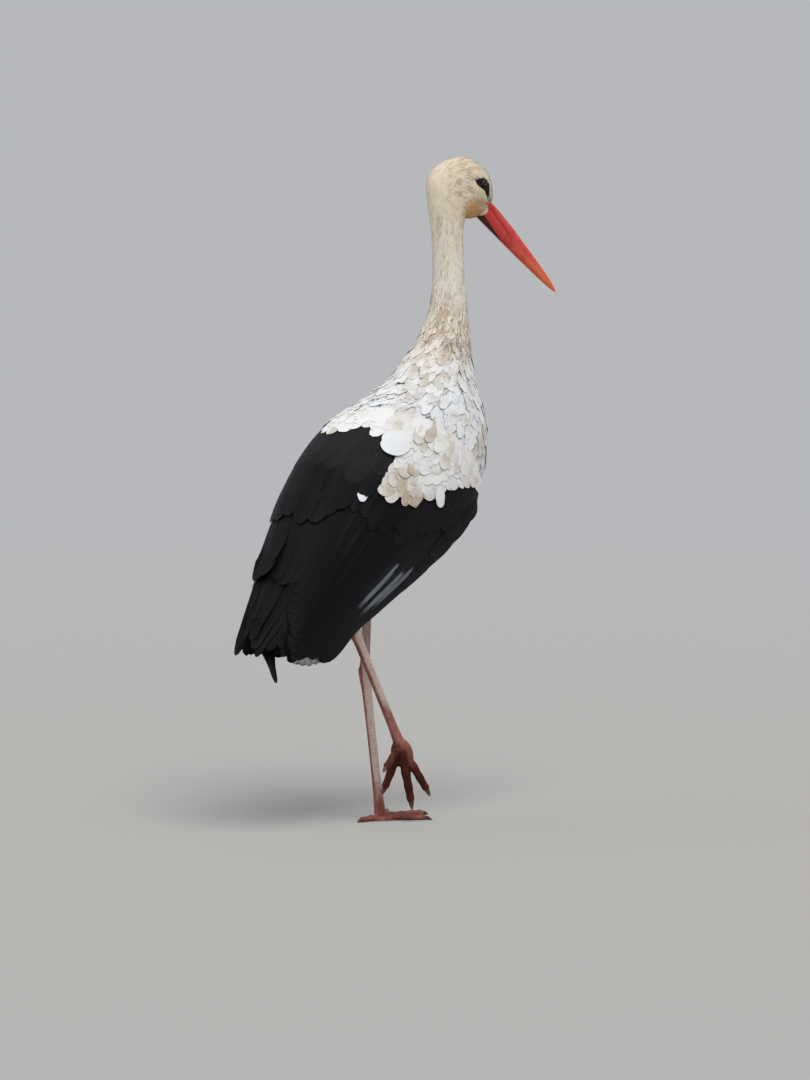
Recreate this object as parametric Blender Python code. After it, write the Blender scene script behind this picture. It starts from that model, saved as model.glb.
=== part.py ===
"""White stork, life size, standing on its left leg with the right foot lifted and hanging.

Metres, +Z up. The bird faces -Y and its right side is -X. The origin is on the ground
under the standing leg.
"""

import math

import bmesh
import bpy
import numpy as np
from mathutils import Matrix, Vector

MM = 0.001
GAP = 0.30          # clear space left between two solids that meet, in mm
RING_SIDES = 26     # facets round the head, neck and trunk

# The neck rises on a line through (0, NECK_Y). "Forward" is measured from that line.
NECK_Y = -147.0
HEAD_TURN = 18.0    # the head looks this far to the bird's right, in degrees

# The trunk slopes down and back.
TRUNK_SLOPE = 57.0
TRUNK_ORIGIN = (0.0, -100.0, 650.0)

# Bill: its root on the face, its slope below level, and its length from the feathers.
BILL_ROOT = (61.3, 967.4)
BILL_SLOPE = 46.0
BILL_LENGTH = 184.0

EYE_FORWARD, EYE_HEIGHT, EYE_SIDE = 50.5, 1008.5, 19.6
EYE_RADIUS = 7.6

SEAM_SHIFT = 0.035  # the right scapulars lap this far over the middle of the back

BODY = bpy.data.collections.new("White stork")
HELPERS = bpy.data.collections.new("Cutters")


def clear_scene():
    for old in list(bpy.data.objects):
        bpy.data.objects.remove(old, do_unlink=True)
    bpy.context.scene.collection.children.link(BODY)
    bpy.context.scene.collection.children.link(HELPERS)
    HELPERS.hide_render = True


# ---------------------------------------------------------------- curves and frames

def smooth(x, xs, ys):
    """A curve through the points that never swings past them."""
    xs = np.asarray(xs, float)
    ys = np.asarray(ys, float)
    step = np.diff(xs)
    rise = np.diff(ys) / step
    slope = np.zeros(len(xs))
    for i in range(1, len(xs) - 1):
        if rise[i - 1] * rise[i] > 0:
            slope[i] = 2 * rise[i - 1] * rise[i] / (rise[i - 1] + rise[i])
    slope[0] = rise[0]
    slope[-1] = rise[-1]
    x = min(max(x, xs[0]), xs[-1])
    i = int(np.clip(np.searchsorted(xs, x) - 1, 0, len(xs) - 2))
    t = (x - xs[i]) / step[i]
    start = (1 + 2 * t) * (1 - t) ** 2 * ys[i] + t * (1 - t) ** 2 * step[i] * slope[i]
    end = t * t * (3 - 2 * t) * ys[i + 1] + t * t * (t - 1) * step[i] * slope[i + 1]
    return float(start + end)


def ease(x):
    x = min(max(x, 0.0), 1.0)
    return x * x * (3 - 2 * x)


def power(value, fullness):
    return math.copysign(abs(value) ** (2 / fullness), value)


def profile_point(forward, height, side, turn=0.0):
    """A point of the head and neck, given in the bird's own upright plane."""
    angle = math.radians(turn)
    x = -forward * math.sin(angle) + side * math.cos(angle)
    y = NECK_Y - forward * math.cos(angle) - side * math.sin(angle)
    return Vector((x, y, height))


def trunk_point(along, out, side=0.0):
    """A point of the trunk: distance toward the tail, distance toward the back, and side."""
    slope = math.radians(TRUNK_SLOPE)
    x0, y0, z0 = TRUNK_ORIGIN
    y = y0 + along * math.cos(slope) + out * math.sin(slope)
    z = z0 - along * math.sin(slope) + out * math.cos(slope)
    return Vector((x0 + side, y, z))


# ---------------------------------------------------------------- meshes

def add_object(name, points, faces, material, collection=None):
    mesh = bpy.data.meshes.new(name)
    mesh.from_pydata([tuple(p * MM) for p in map(Vector, points)], [], faces)
    mesh.update()
    shape = bmesh.new()
    shape.from_mesh(mesh)
    bmesh.ops.recalc_face_normals(shape, faces=shape.faces)
    bmesh.ops.triangulate(shape, faces=[f for f in shape.faces if len(f.verts) > 4])
    if shape.calc_volume(signed=True) < 0:
        bmesh.ops.reverse_faces(shape, faces=shape.faces)
    shape.to_mesh(mesh)
    shape.free()
    obj = bpy.data.objects.new(name, mesh)
    (collection or BODY).objects.link(obj)
    if material:
        mesh.materials.append(material)
    for face in mesh.polygons:
        face.use_smooth = True
    return obj


def material(name, colour, roughness):
    made = bpy.data.materials.new(name)
    made.use_nodes = True
    shader = made.node_tree.nodes["Principled BSDF"]
    shader.inputs["Base Color"].default_value = (*colour, 1.0)
    shader.inputs["Roughness"].default_value = roughness
    made.diffuse_color = (*colour, 1.0)
    return made


def loft(name, rings, paint, collection=None):
    """One closed solid over rings of equal count, with a flat end at each end."""
    count = len(rings[0])
    points = [p for ring in rings for p in ring]
    faces = []
    for i in range(len(rings) - 1):
        for j in range(count):
            k = (j + 1) % count
            faces.append((i * count + j, i * count + k, (i + 1) * count + k, (i + 1) * count + j))
    for i in (0, len(rings) - 1):
        middle = sum((Vector(p) for p in rings[i]), Vector()) / count
        centre = len(points)
        points.append(middle)
        for j in range(count):
            faces.append((centre, i * count + j, i * count + (j + 1) % count))
    return add_object(name, points, faces, paint, collection)


def round_bar(name, path, radii, paint, sides=10, collection=None):
    """A tapering round bar along a path, made from a bevelled curve."""
    data = bpy.data.curves.new(name, "CURVE")
    data.dimensions = "3D"
    data.bevel_depth = MM
    data.bevel_resolution = max((sides - 4) // 2, 0)
    data.use_fill_caps = True
    line = data.splines.new("POLY")
    line.points.add(len(path) - 1)
    for point, where, radius in zip(line.points, path, radii):
        point.co = (*(Vector(where) * MM), 1.0)
        point.radius = radius
    guide = bpy.data.objects.new(name + "_line", data)
    BODY.objects.link(guide)
    bpy.context.view_layer.update()
    mesh = bpy.data.meshes.new_from_object(guide.evaluated_get(bpy.context.evaluated_depsgraph_get()))
    bpy.data.objects.remove(guide, do_unlink=True)
    shape = bmesh.new()
    shape.from_mesh(mesh)
    bmesh.ops.remove_doubles(shape, verts=shape.verts, dist=0.00002)
    bmesh.ops.recalc_face_normals(shape, faces=shape.faces)
    if shape.calc_volume(signed=True) < 0:
        bmesh.ops.reverse_faces(shape, faces=shape.faces)
    shape.to_mesh(mesh)
    shape.free()
    mesh.name = name
    obj = bpy.data.objects.new(name, mesh)
    (collection or BODY).objects.link(obj)
    if paint:
        mesh.materials.clear()
        mesh.materials.append(paint)
    for face in mesh.polygons:
        face.use_smooth = True
    return obj


def ball(name, centre, radii, paint, segments=14, rings=8, collection=None, axis=None):
    shape = bmesh.new()
    bmesh.ops.create_uvsphere(shape, u_segments=segments, v_segments=rings, radius=1.0)
    for vert in shape.verts:
        vert.co = Vector((vert.co.x * radii[0], vert.co.y * radii[1], vert.co.z * radii[2])) * MM
    mesh = bpy.data.meshes.new(name)
    shape.to_mesh(mesh)
    shape.free()
    obj = bpy.data.objects.new(name, mesh)
    (collection or BODY).objects.link(obj)
    turn = Vector((0, 0, 1)).rotation_difference(axis).to_matrix().to_4x4() if axis else None
    if turn:
        mesh.transform(turn)
    mesh.transform(Matrix.Translation(Vector(centre) * MM))
    if paint:
        mesh.materials.append(paint)
    for face in mesh.polygons:
        face.use_smooth = True
    return obj


# ---------------------------------------------------------------- head, neck and trunk

# Sections from the bill to the rump. The first group is given as (forward, height) of the
# back and of the throat, the second as (along, out) in the sloping frame of the trunk.
# Then: where the section is widest, half its width, how full it is, and how far it is turned.
UPPER_SECTIONS = (
    ("bill root", (73.5, 979.2), (48.6, 955.0), 0.50, 12.5, 2.2, 18),
    ("bristles", (76.0, 989.0), (39.5, 952.8), 0.52, 16.0, 2.2, 18),
    ("lores", (74.6, 999.0), (35.5, 952.3), 0.54, 18.8, 2.2, 18),
    ("eye front", (71.6, 1013.0), (32.5, 952.6), 0.57, 21.6, 2.2, 18),
    ("brow", (65.0, 1028.0), (30.3, 953.0), 0.58, 24.6, 2.2, 18),
    ("forehead", (50.5, 1040.4), (28.4, 953.2), 0.57, 27.2, 2.2, 18),
    ("crown", (23.4, 1051.4), (26.8, 952.5), 0.55, 28.8, 2.2, 18),
    ("hind crown", (-5.8, 1045.0), (25.9, 951.0), 0.53, 28.8, 2.2, 17),
    ("back of head", (-27.5, 1030.3), (25.4, 948.0), 0.52, 28.2, 2.2, 15),
    ("nape", (-37.5, 1006.0), (25.0, 944.0), 0.51, 27.2, 2.1, 12),
    ("under nape", (-36.5, 982.0), (24.7, 939.0), 0.50, 26.0, 2.0, 9),
    ("throat", (-33.0, 957.0), (24.2, 932.0), 0.50, 25.0, 2.0, 6),
    ("neck top", (-28.5, 925.0), (23.0, 920.0), 0.50, 24.5, 2.0, 3),
    ("neck", (-26.5, 890.0), (24.5, 889.0), 0.50, 24.6, 2.0, 0),
    ("mid neck", (-26.0, 860.0), (26.0, 857.0), 0.50, 25.6, 2.0, 0),
    ("low neck", (-30.0, 823.0), (30.5, 817.0), 0.50, 28.6, 2.0, 0),
    ("neck flare", (-38.0, 795.0), (32.5, 783.0), 0.50, 32.5, 2.0, 0),
    ("neck root", (-53.0, 769.0), (35.5, 751.0), 0.50, 38.8, 2.0, 0),
    ("crop", (-77.0, 737.0), (39.5, 713.0), 0.50, 48.0, 2.05, 0),
    ("shoulder top", (-113.0, 700.0), (47.0, 672.0), 0.49, 62.0, 2.1, 0),
)
TRUNK_SECTIONS = (
    ("shoulder", (30, 100), (-20, -113), 0.48, 78, 2.15),
    ("breast", (70, 124), (25, -139), 0.48, 84, 2.15),
    ("mantle", (104, 139), (62, -138), 0.48, 83, 2.2),
    ("mid back", (131, 144), (98, -128), 0.48, 81, 2.2),
    ("back", (155, 148), (133, -114), 0.48, 79, 2.2),
    ("flank", (195, 154), (188, -92), 0.50, 77, 2.2),
    ("belly", (250, 144), (255, -68), 0.50, 67, 2.2),
    ("rump", (300, 120), (305, -50), 0.50, 54, 2.15),
    ("vent", (333, 88), (335, -34), 0.50, 40, 2.1),
    ("tail root", (352, 62), (352, -22), 0.50, 31, 2.0),
)


def spine_sections():
    """Each section as its back point and throat point, turned into world space later."""
    found = []
    for name, back, throat, level, half, full, turn in UPPER_SECTIONS:
        found.append((name, back, throat, level, half, full, turn))
    for name, back, throat, level, half, full in TRUNK_SECTIONS:
        top = trunk_point(*back)
        low = trunk_point(*throat)
        upper = (NECK_Y - top.y, top.z)
        lower = (NECK_Y - low.y, low.z)
        found.append((name, upper, lower, level, half, full, 0))
    return found


SPINE = spine_sections()
SPINE_NAMES = [section[0] for section in SPINE]


def spine_marks():
    """The running distance of each section along the middle of the body."""
    marks = [0.0]
    for one, two in zip(SPINE[:-1], SPINE[1:]):
        middle_one = ((one[1][0] + one[2][0]) / 2, (one[1][1] + one[2][1]) / 2)
        middle_two = ((two[1][0] + two[2][0]) / 2, (two[1][1] + two[2][1]) / 2)
        marks.append(marks[-1] + math.dist(middle_one, middle_two))
    return marks


MARKS = spine_marks()


def spine_at(mark):
    def column(read):
        return smooth(mark, MARKS, [read(section) for section in SPINE])
    back = (column(lambda s: s[1][0]), column(lambda s: s[1][1]))
    throat = (column(lambda s: s[2][0]), column(lambda s: s[2][1]))
    return (back, throat, column(lambda s: s[3]), column(lambda s: s[4]),
            column(lambda s: s[5]), column(lambda s: s[6]))


def spine_ring(mark, grow=0.0, slide=0.0, sides=RING_SIDES):
    """One section of the body. It can be grown outward, and slid along its own normal."""
    back, throat, level, half, full, turn = spine_at(mark)
    top = profile_point(*back, 0, turn)
    low = profile_point(*throat, 0, turn)
    centre = low + (top - low) * level
    angle = math.radians(turn)
    side = Vector((math.cos(angle), -math.sin(angle), 0))
    upward = (top - centre).normalized()
    normal = side.cross(upward)
    up_size = (top - centre).length + grow
    low_size = (low - centre).length + grow
    ring = []
    for j in range(sides):
        phi = 2 * math.pi * j / sides
        across = power(math.sin(phi), full) * (half + grow)
        rise = power(math.cos(phi), full)
        rise *= up_size if rise > 0 else low_size
        ring.append(centre + side * across + upward * rise + normal * slide)
    return ring


def mark_of(name):
    return MARKS[SPINE_NAMES.index(name)]


def body_piece(name, start, end, count, paint, grow=0.0, collection=None):
    """Part of the body between two named sections, held back a little from its neighbours."""
    first = mark_of(start)
    last = mark_of(end)
    step_back = 0.0 if grow else GAP / 2
    ahead = spine_at(first)[0]
    behind = spine_at(last)[0]
    assert ahead != behind
    rings = []
    for i in range(count + 1):
        mark = first + (last - first) * i / count
        slide = 0.0
        if i == 0:
            slide = -step_back
        if i == count:
            slide = step_back
        rings.append(spine_ring(mark, grow, slide))
    return loft(name, rings, paint, collection)


# ---------------------------------------------------------------- bill and eyes

# Distance from the feathers, height of the ridge over the gape, depth below it, half width.
BILL_SECTIONS = (
    (0.0, 16.6, 17.4, 12.0),
    (12.0, 17.4, 16.8, 11.8),
    (34.0, 17.2, 15.4, 10.8),
    (62.0, 15.8, 13.8, 9.4),
    (90.0, 13.6, 12.0, 8.0),
    (118.0, 11.4, 9.6, 6.6),
    (146.0, 8.6, 7.2, 5.0),
    (168.0, 5.4, 4.6, 3.2),
    (180.0, 2.4, 2.2, 1.6),
)


def bill_point(along, rise, side):
    slope = math.radians(BILL_SLOPE)
    forward = BILL_ROOT[0] + along * math.cos(slope) + rise * math.sin(slope)
    height = BILL_ROOT[1] - along * math.sin(slope) + rise * math.cos(slope)
    return profile_point(forward, height, side, HEAD_TURN)


def half_bill(name, upper, paint, sides=7):
    """Upper or lower half of the bill, with a flat face on the gape."""
    sign = 1 if upper else -1
    rings = []
    for along, ridge, keel, half in BILL_SECTIONS:
        deep = ridge if upper else keel
        full = 1.9 if upper else 2.1
        ring = []
        for j in range(sides + 1):
            phi = math.pi * j / sides
            across = power(math.cos(phi), 2.0) * half * (1.0 if upper else 0.97)
            rise = power(max(math.sin(phi), 0.0), full) * (deep - GAP / 2) + GAP / 2
            ring.append(bill_point(along + GAP, sign * rise, across))
        for share in (-0.34, 0.34):
            ring.append(bill_point(along + GAP, sign * GAP / 2, share * half))
        rings.append(ring)
    tip = [bill_point(BILL_LENGTH, sign * (GAP / 2 + 0.5 + 0.45 * math.sin(math.pi * min(j, sides) / sides)),
                      0.4 * math.cos(math.pi * min(j, sides) / sides)) for j in range(sides + 1)]
    tip += [bill_point(BILL_LENGTH, sign * (GAP / 2 + 0.4), 0.13 * share) for share in (-1, 1)]
    rings.append(tip)
    return loft(name, rings, paint)


def eye_centre(side):
    return profile_point(EYE_FORWARD, EYE_HEIGHT, side * EYE_SIDE, HEAD_TURN)


def eye_axis(side):
    angle = math.radians(HEAD_TURN)
    out = Vector((math.cos(angle), -math.sin(angle), 0)) * side
    forward = Vector((-math.sin(angle), -math.cos(angle), 0))
    return (out + forward * 0.22).normalized()


# ---------------------------------------------------------------- wings

# The envelope over the folded wings, in the frame of the trunk: half width, height of the
# back, height of the lower edge, height where it is widest, half width at the lower edge.
WING_SECTIONS = (
    (40, 93, 106, -104, -8, 74),
    (80, 102, 129, -106, -2, 81),
    (120, 105, 148, -111, 6, 86),
    (160, 106, 159, -103, 14, 86),
    (200, 106, 164, -91, 22, 84),
    (250, 104, 165, -72, 32, 80),
    (300, 99, 160, -51, 42, 76),
    (350, 91, 150, -30, 52, 71),
    (400, 81, 141, -9, 58, 67),
    (450, 70, 137, 1, 62, 61),
    (500, 59, 136, 22, 70, 51),
    (545, 46, 130, 54, 84, 38),
)
WING_FULLNESS = 2.2


def wing_point(side, along, across, inward):
    """A point under the wing envelope. Across runs from 0 on the back to 1 at the lower edge."""
    stops = [section[0] for section in WING_SECTIONS]
    half, back, low, wide, low_half = (
        smooth(along, stops, [section[k] for section in WING_SECTIONS]) for k in range(1, 6))
    if across < 0:
        side = -side
        across = -across
    if across <= 0.5:
        phi = math.pi * across
        out = (half - inward) * power(math.sin(phi), WING_FULLNESS)
        rise = wide + (back - inward - wide) * power(max(math.cos(phi), 0.0), WING_FULLNESS)
    else:
        share = (across - 0.5) / 0.5
        out = (half - inward) - (half - low_half) * share * share
        rise = wide - (wide - low) * share
    return trunk_point(along, rise, side * out)


# Each layer of the wing: its span across, its front edge and its tips as (across, along),
# how many feathers show in its edge and how deep they scallop it.
COVERT_FRONT = ((0.16, 72), (0.30, 62), (0.50, 60), (0.70, 61), (0.85, 68), (0.97, 75), (1.0, 75))
COVERT_TIPS = ((0.16, 98), (0.22, 117), (0.30, 125), (0.342, 132), (0.358, 204), (0.40, 212),
               (0.45, 201), (0.51, 181), (0.57, 160), (0.64, 134), (0.73, 113), (0.83, 94), (1.0, 85))
SCAPULAR_FRONT = ((-0.05, 134), (0.03, 133), (0.09, 118), (0.16, 102), (0.22, 122), (0.28, 130),
                  (0.34, 140), (0.35, 150))
SCAPULAR_TIPS = ((-0.05, 286), (0.03, 296), (0.09, 300), (0.15, 294), (0.20, 272), (0.26, 240),
                 (0.31, 222), (0.345, 206))
SECONDARY_FRONT = ((0.03, 262), (0.12, 262), (0.20, 238), (0.26, 208), (0.32, 186), (0.40, 178),
                   (0.50, 152), (0.60, 122), (0.70, 102), (0.80, 91), (0.90, 86), (1.0, 92))
SECONDARY_TIPS = ((0.03, 392), (0.10, 398), (0.20, 404), (0.28, 440), (0.38, 478), (0.48, 495),
                  (0.60, 488), (0.70, 478), (0.80, 474), (0.90, 470), (0.95, 464), (0.975, 444),
                  (0.99, 398), (1.0, 320))
PRIMARY_FRONT = ((0.10, 330), (0.66, 330))
# The two wings lie a little differently: the left tip is the higher one.
PRIMARY_TIPS = {
    "right": ((0.10, 494), (0.15, 512), (0.22, 500), (0.34, 494), (0.44, 500), (0.51, 516),
              (0.57, 537), (0.62, 520), (0.66, 500)),
    "left": ((0.10, 462), (0.17, 490), (0.25, 512), (0.33, 498), (0.42, 478), (0.54, 466),
             (0.66, 452)),
}


def read_edge(edge, across):
    return smooth(across, [e[0] for e in edge], [e[1] for e in edge])


def even_rows(count):
    def rows(across, start, end):
        return [start + (end - start) * j / count for j in range(count + 1)]
    return rows


def rows_past(edge_of, clear, steps, count):
    """Rows of a layer that comes out from under another: closer together just past its edge."""
    def rows(across, start, end):
        edge = edge_of(across) + clear
        if end < edge + 14:
            return [start + (end - start) * j / (count + len(steps)) for j in range(count + len(steps) + 1)]
        room = min(1.0, 0.7 * (end - edge) / steps[-1]) if steps else 1.0
        found = [start, edge] + [edge + step * room for step in steps]
        last = found[-1]
        left = count - 1
        found += [last + (end - last) * (j + 1) / left for j in range(left)]
        return found
    return rows


def feather_layer(name, side, spans, front, tips, feathers, scallop, outer, inner, paint, rows):
    """A layer of overlapping feathers as one thin solid with a scalloped edge.

    spans lists (from, to, columns) across the wing. outer and inner give the depth of its
    two faces under the envelope at (across, along, share of the way to the tip).
    """
    places = [spans[0][0]]
    for low, high, columns in spans:
        places += [low + (high - low) * (i + 1) / columns for i in range(columns)]
    first, final = places[0], places[-1]
    columns = len(places) - 1
    lines = []
    for across in places:
        start = read_edge(front, across)
        phase = feathers * (across - first) / (final - first)
        dip = abs(2 * (phase - math.floor(phase)) - 1)
        end = read_edge(tips, across) - scallop * dip * dip
        lines.append([(across, along, (along - start) / (end - start))
                      for along in rows(across, start, end)])
    points = []
    for depth in (outer, inner):
        for line in lines:
            points += [wing_point(side, a[1], a[0], depth(*a)) for a in line]
    wide = len(lines[0])
    row_count = wide - 1
    shift = wide * (columns + 1)
    faces = []
    for i in range(columns):
        for j in range(row_count):
            a = i * wide + j
            faces.append((a, a + wide, a + wide + 1, a + 1))
            b = a + shift
            faces.append((b, b + 1, b + wide + 1, b + wide))
    rim = [i * wide for i in range(columns + 1)]
    rim += [columns * wide + j for j in range(1, wide)]
    rim += [i * wide + row_count for i in range(columns - 1, -1, -1)]
    rim += [j for j in range(row_count - 1, 0, -1)]
    for k, a in enumerate(rim):
        b = rim[(k + 1) % len(rim)]
        faces.append((a, b, b + shift, a + shift))
    return add_object(name, points, faces, paint)


def covert_outer(across, along, share):
    return 0.0


def covert_inner(across, along, share):
    front = 5.0 + 5.0 * ease((across - 0.2) / 0.3)
    return front + (6.6 - front) * ease(share / 0.7)


def scapular_outer(across, along, share):
    return 0.0


def scapular_inner(across, along, share):
    return 4.2 + 2.4 * ease(share * 3) - 3.6 * ease((share - 0.8) / 0.2)


def cover_edge(across):
    """How far back the scapulars and coverts reach over the flight feathers."""
    if across < 0.345:
        return read_edge(SCAPULAR_TIPS, across)
    return read_edge(COVERT_TIPS, across)


def secondary_edge(across):
    return read_edge(SECONDARY_TIPS, across)


def secondary_outer(across, along, share):
    return 7.8 - 5.8 * ease((along - cover_edge(across) - 4) / 40)


def secondary_inner(across, along, share):
    return 12.2 - 5.6 * ease((along - cover_edge(across) - 3) / 60) * ease((share - 0.5) / 0.5)


def primary_outer(across, along, share):
    tips = read_edge(SECONDARY_TIPS, across)
    return 12.8 - 6.0 * ease((along - tips - 2) / 30)


def primary_inner(across, along, share):
    tips = read_edge(SECONDARY_TIPS, across)
    return 16.6 - 7.2 * ease((along - tips - 2) / 36)


def build_wing(side, suffix, white, black):
    lap = SEAM_SHIFT * (-1 if side < 0 else 1) + 0.004
    feather_layer("shoulder_coverts_" + suffix, side,
                  ((0.165, 0.342, 5), (0.342, 0.358, 1), (0.358, 0.995, 13)),
                  COVERT_FRONT, COVERT_TIPS, 10, 6.0, covert_outer, covert_inner, white,
                  even_rows(4))
    feather_layer("scapulars_" + suffix, side, ((lap, 0.338, 12),), SCAPULAR_FRONT,
                  SCAPULAR_TIPS, 5, 7.0, scapular_outer, scapular_inner, black, even_rows(6))
    feather_layer("secondaries_" + suffix, side, ((0.03, 0.9, 17), (0.9, 1.0, 4)),
                  SECONDARY_FRONT, SECONDARY_TIPS, 9, 9.0, secondary_outer, secondary_inner,
                  black, rows_past(cover_edge, 4, (20, 44), 4))
    feather_layer("primaries_" + suffix, side, ((0.10, 0.66, 14),), PRIMARY_FRONT,
                  PRIMARY_TIPS[suffix], 4, 12.0, primary_outer, primary_inner, black,
                  rows_past(secondary_edge, 3, (), 3))


# ---------------------------------------------------------------- tail

# Along the trunk, height of the top, height of the underside, half width.
TAIL_SECTIONS = (
    (352, 62, -22, 31), (376, 48, -17, 33), (404, 34, -9, 36), (432, 22, -3, 39),
    (456, 13, 1.5, 42), (470, 8.5, 4.5, 44),
)
TAIL_FEATHERS = 6


def build_tail(paint, sides=20):
    rings = []
    last = len(TAIL_SECTIONS) - 1
    for i, (along, top, low, half) in enumerate(TAIL_SECTIONS):
        ring = []
        for j in range(sides):
            phi = 2 * math.pi * j / sides
            across = power(math.sin(phi), 2.2)
            rise = (top + low) / 2 + (top - low) / 2 * power(math.cos(phi), 2.2)
            reach = along + (GAP if i == 0 else 0)
            if i == last:
                ripple = abs(math.sin(math.pi * TAIL_FEATHERS * (across + 1) / 2))
                reach += 4.0 * ripple - 14.0 * across * across
            ring.append(trunk_point(reach, rise, half * across))
        rings.append(ring)
    return loft("tail", rings, paint)


# ---------------------------------------------------------------- legs

LEFT_KNEE, LEFT_ANKLE, LEFT_FOOT = Vector((36, -9, 446)), Vector((18, 16, 236)), Vector((0, 0, 11))
RIGHT_KNEE, RIGHT_ANKLE = Vector((-46, -86, 453)), Vector((-50, 101, 317))
RIGHT_FOOT = Vector((-50, 1, 122))
THIGH_SHARE = 0.50      # how far down the shin the feathers reach

# Share of the way down the shin, half depth and half width of the feathered thigh.
THIGH_SECTIONS = (
    (-0.16, 27, 20), (-0.05, 29, 22), (0.08, 28, 21.5), (0.20, 24, 19), (0.32, 19, 16),
    (0.42, 14.5, 12.5), (THIGH_SHARE, 10.5, 9.8),
)
SHIN_RADII = ((0.0, 8.0), (0.35, 7.0), (0.75, 6.8), (1.0, 8.6))
SHANK_RADII = ((0.0, 8.6), (0.035, 10.2), (0.08, 9.4), (0.16, 7.4), (0.5, 6.6), (0.82, 6.8),
               (0.94, 8.2), (1.0, 8.6))


def thigh_rings(knee, ankle, sides=14):
    line = ankle - knee
    forward = Vector((1, 0, 0)).cross(line).normalized()
    side = forward.cross(line).normalized()
    rings = []
    for share, deep, wide in THIGH_SECTIONS:
        centre = knee + line * share
        ring = []
        for j in range(sides):
            phi = 2 * math.pi * j / sides
            ring.append(centre + forward * deep * math.cos(phi) + side * wide * math.sin(phi))
        rings.append(ring)
    return rings


def cut(target, cutter):
    """Take the cutter away from the target for good, and leave the target a plain mesh."""
    change = target.modifiers.new("Cut", "BOOLEAN")
    change.operation = "DIFFERENCE"
    change.solver = "EXACT"
    change.object = cutter
    bpy.context.view_layer.update()
    solid = target.evaluated_get(bpy.context.evaluated_depsgraph_get())
    result = bpy.data.meshes.new_from_object(solid)
    target.modifiers.clear()
    result.name = target.name
    target.data = result
    for face in result.polygons:
        face.use_smooth = True


def keep_above_ground(obj):
    """Press whatever would reach under the ground flat against it."""
    for vert in obj.data.vertices:
        if vert.co.z < 0.00045:
            vert.co.z = 0.0


def grown_bar(name, path, radii, sides=10):
    first = (path[0] - path[1]).normalized()
    last = (path[-1] - path[-2]).normalized()
    longer = [path[0] + first * GAP] + list(path[1:-1]) + [path[-1] + last * GAP]
    return round_bar(name, longer, [r + GAP for r in radii], None, sides, HELPERS)


def build_leg(suffix, knee, ankle, foot, feather, skin, trunk_cutter):
    thigh = loft("thigh_" + suffix, thigh_rings(knee, ankle), feather)
    cut(thigh, trunk_cutter)
    line = ankle - knee
    start = knee + line * THIGH_SHARE + line.normalized() * GAP
    shin_path = [start + (ankle - start) * share for share, radius in SHIN_RADII]
    shin = round_bar("shin_" + suffix, shin_path, [r for share, r in SHIN_RADII], skin)
    top = ankle + (ankle - foot).normalized() * 7
    path = [top + (foot - top) * share for share, radius in SHANK_RADII]
    radii = [radius for share, radius in SHANK_RADII]
    shank = round_bar("shank_" + suffix, path, radii, skin)
    cutter = grown_bar("shank_cutter_" + suffix, path, radii)
    cut(shin, cutter)
    return shank


# ---------------------------------------------------------------- feet

# The pad that the toes grow from: its centre ahead of the ankle bone, and its half sizes.
FOOT_CENTRE = 10.0
FOOT_SIZE = (18.0, 27.0, 9.5)
# Toe: name, length from the centre of the foot, root radius.
TOES = (("inner", 84, 6.1), ("middle", 104, 6.5), ("outer", 92, 6.1), ("hind", 50, 5.6))
STANDING_SPREAD = {"inner": 41, "middle": 0, "outer": -41, "hind": 180}
HANGING_SPREAD = {"inner": 31, "middle": 0, "outer": -21, "hind": 0}
TOE_SWELL = (1.0, 0.90, 0.98, 0.84, 0.90, 0.74, 0.70)
TOE_START = 12.0
CLAW_LENGTH = {"inner": 12, "middle": 14, "outer": 12, "hind": 10}


def toe_path(foot_frame, spread, length, droop, radius, way=None):
    """Points along one toe in the frame of the foot: origin, forward, inward and up."""
    origin, forward, inward, upward = foot_frame
    angle = math.radians(spread)
    way = way or forward * math.cos(angle) + inward * math.sin(angle)
    points = []
    for i in range(len(TOE_SWELL)):
        share = i / (len(TOE_SWELL) - 1)
        reach = TOE_START + (length - TOE_START) * share
        points.append(origin + way * reach + upward * droop(share, radius))
    return points


def build_foot(suffix, frame, droop, spreads, horn, skin, on_ground, hind_way=None):
    origin, forward, inward, upward = frame
    centre = origin + forward * FOOT_CENTRE
    turn = Matrix((inward, forward, upward)).transposed().to_4x4()
    pads = []
    for name, grow, where in (("foot_" + suffix, 0.0, BODY), ("foot_cutter_" + suffix, GAP, HELPERS)):
        size = [s + grow for s in FOOT_SIZE]
        pad = ball(name, (0, 0, 0), size, skin if grow == 0 else None, 14, 8, where)
        pad.data.transform(turn)
        pad.data.transform(Matrix.Translation(centre * MM))
        if pad.data.vertices and turn.determinant() < 0:
            pad.data.flip_normals()
        pads.append(pad)
    pad, cutter = pads
    if on_ground:
        keep_above_ground(pad)
    for name, length, radius in TOES:
        claw_length = CLAW_LENGTH[name]
        own_way = hind_way if name == "hind" else None
        path = toe_path(frame, spreads[name], length - claw_length, droop, radius, own_way)
        radii = [radius * swell for swell in TOE_SWELL]
        toe = round_bar(name + "_toe_" + suffix, path, radii, skin, 8)
        if on_ground:
            keep_above_ground(toe)
        cut(toe, cutter)
        step = (path[-1] - path[-2]).normalized()
        root = path[-1] + step * GAP
        bend = step * 0.92 - upward * (0.0 if on_ground else 0.25)
        claw_path = [root, root + step * claw_length * 0.5, root + step * claw_length * 0.5
                     + bend * claw_length * 0.5]
        claw = round_bar(name + "_claw_" + suffix, claw_path,
                         [radius * 0.60, radius * 0.46, radius * 0.16], horn, 6)
        if on_ground:
            keep_above_ground(claw)
    return cutter


def ground_droop(share, radius):
    """Height of a toe's middle line on the ground, over the level of the ankle's foot."""
    swell = smooth(share, [i / (len(TOE_SWELL) - 1) for i in range(len(TOE_SWELL))], TOE_SWELL)
    return radius * swell * 0.82


def hanging_droop(share, radius):
    return -7.0 * share * share


# ---------------------------------------------------------------- the whole bird

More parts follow.
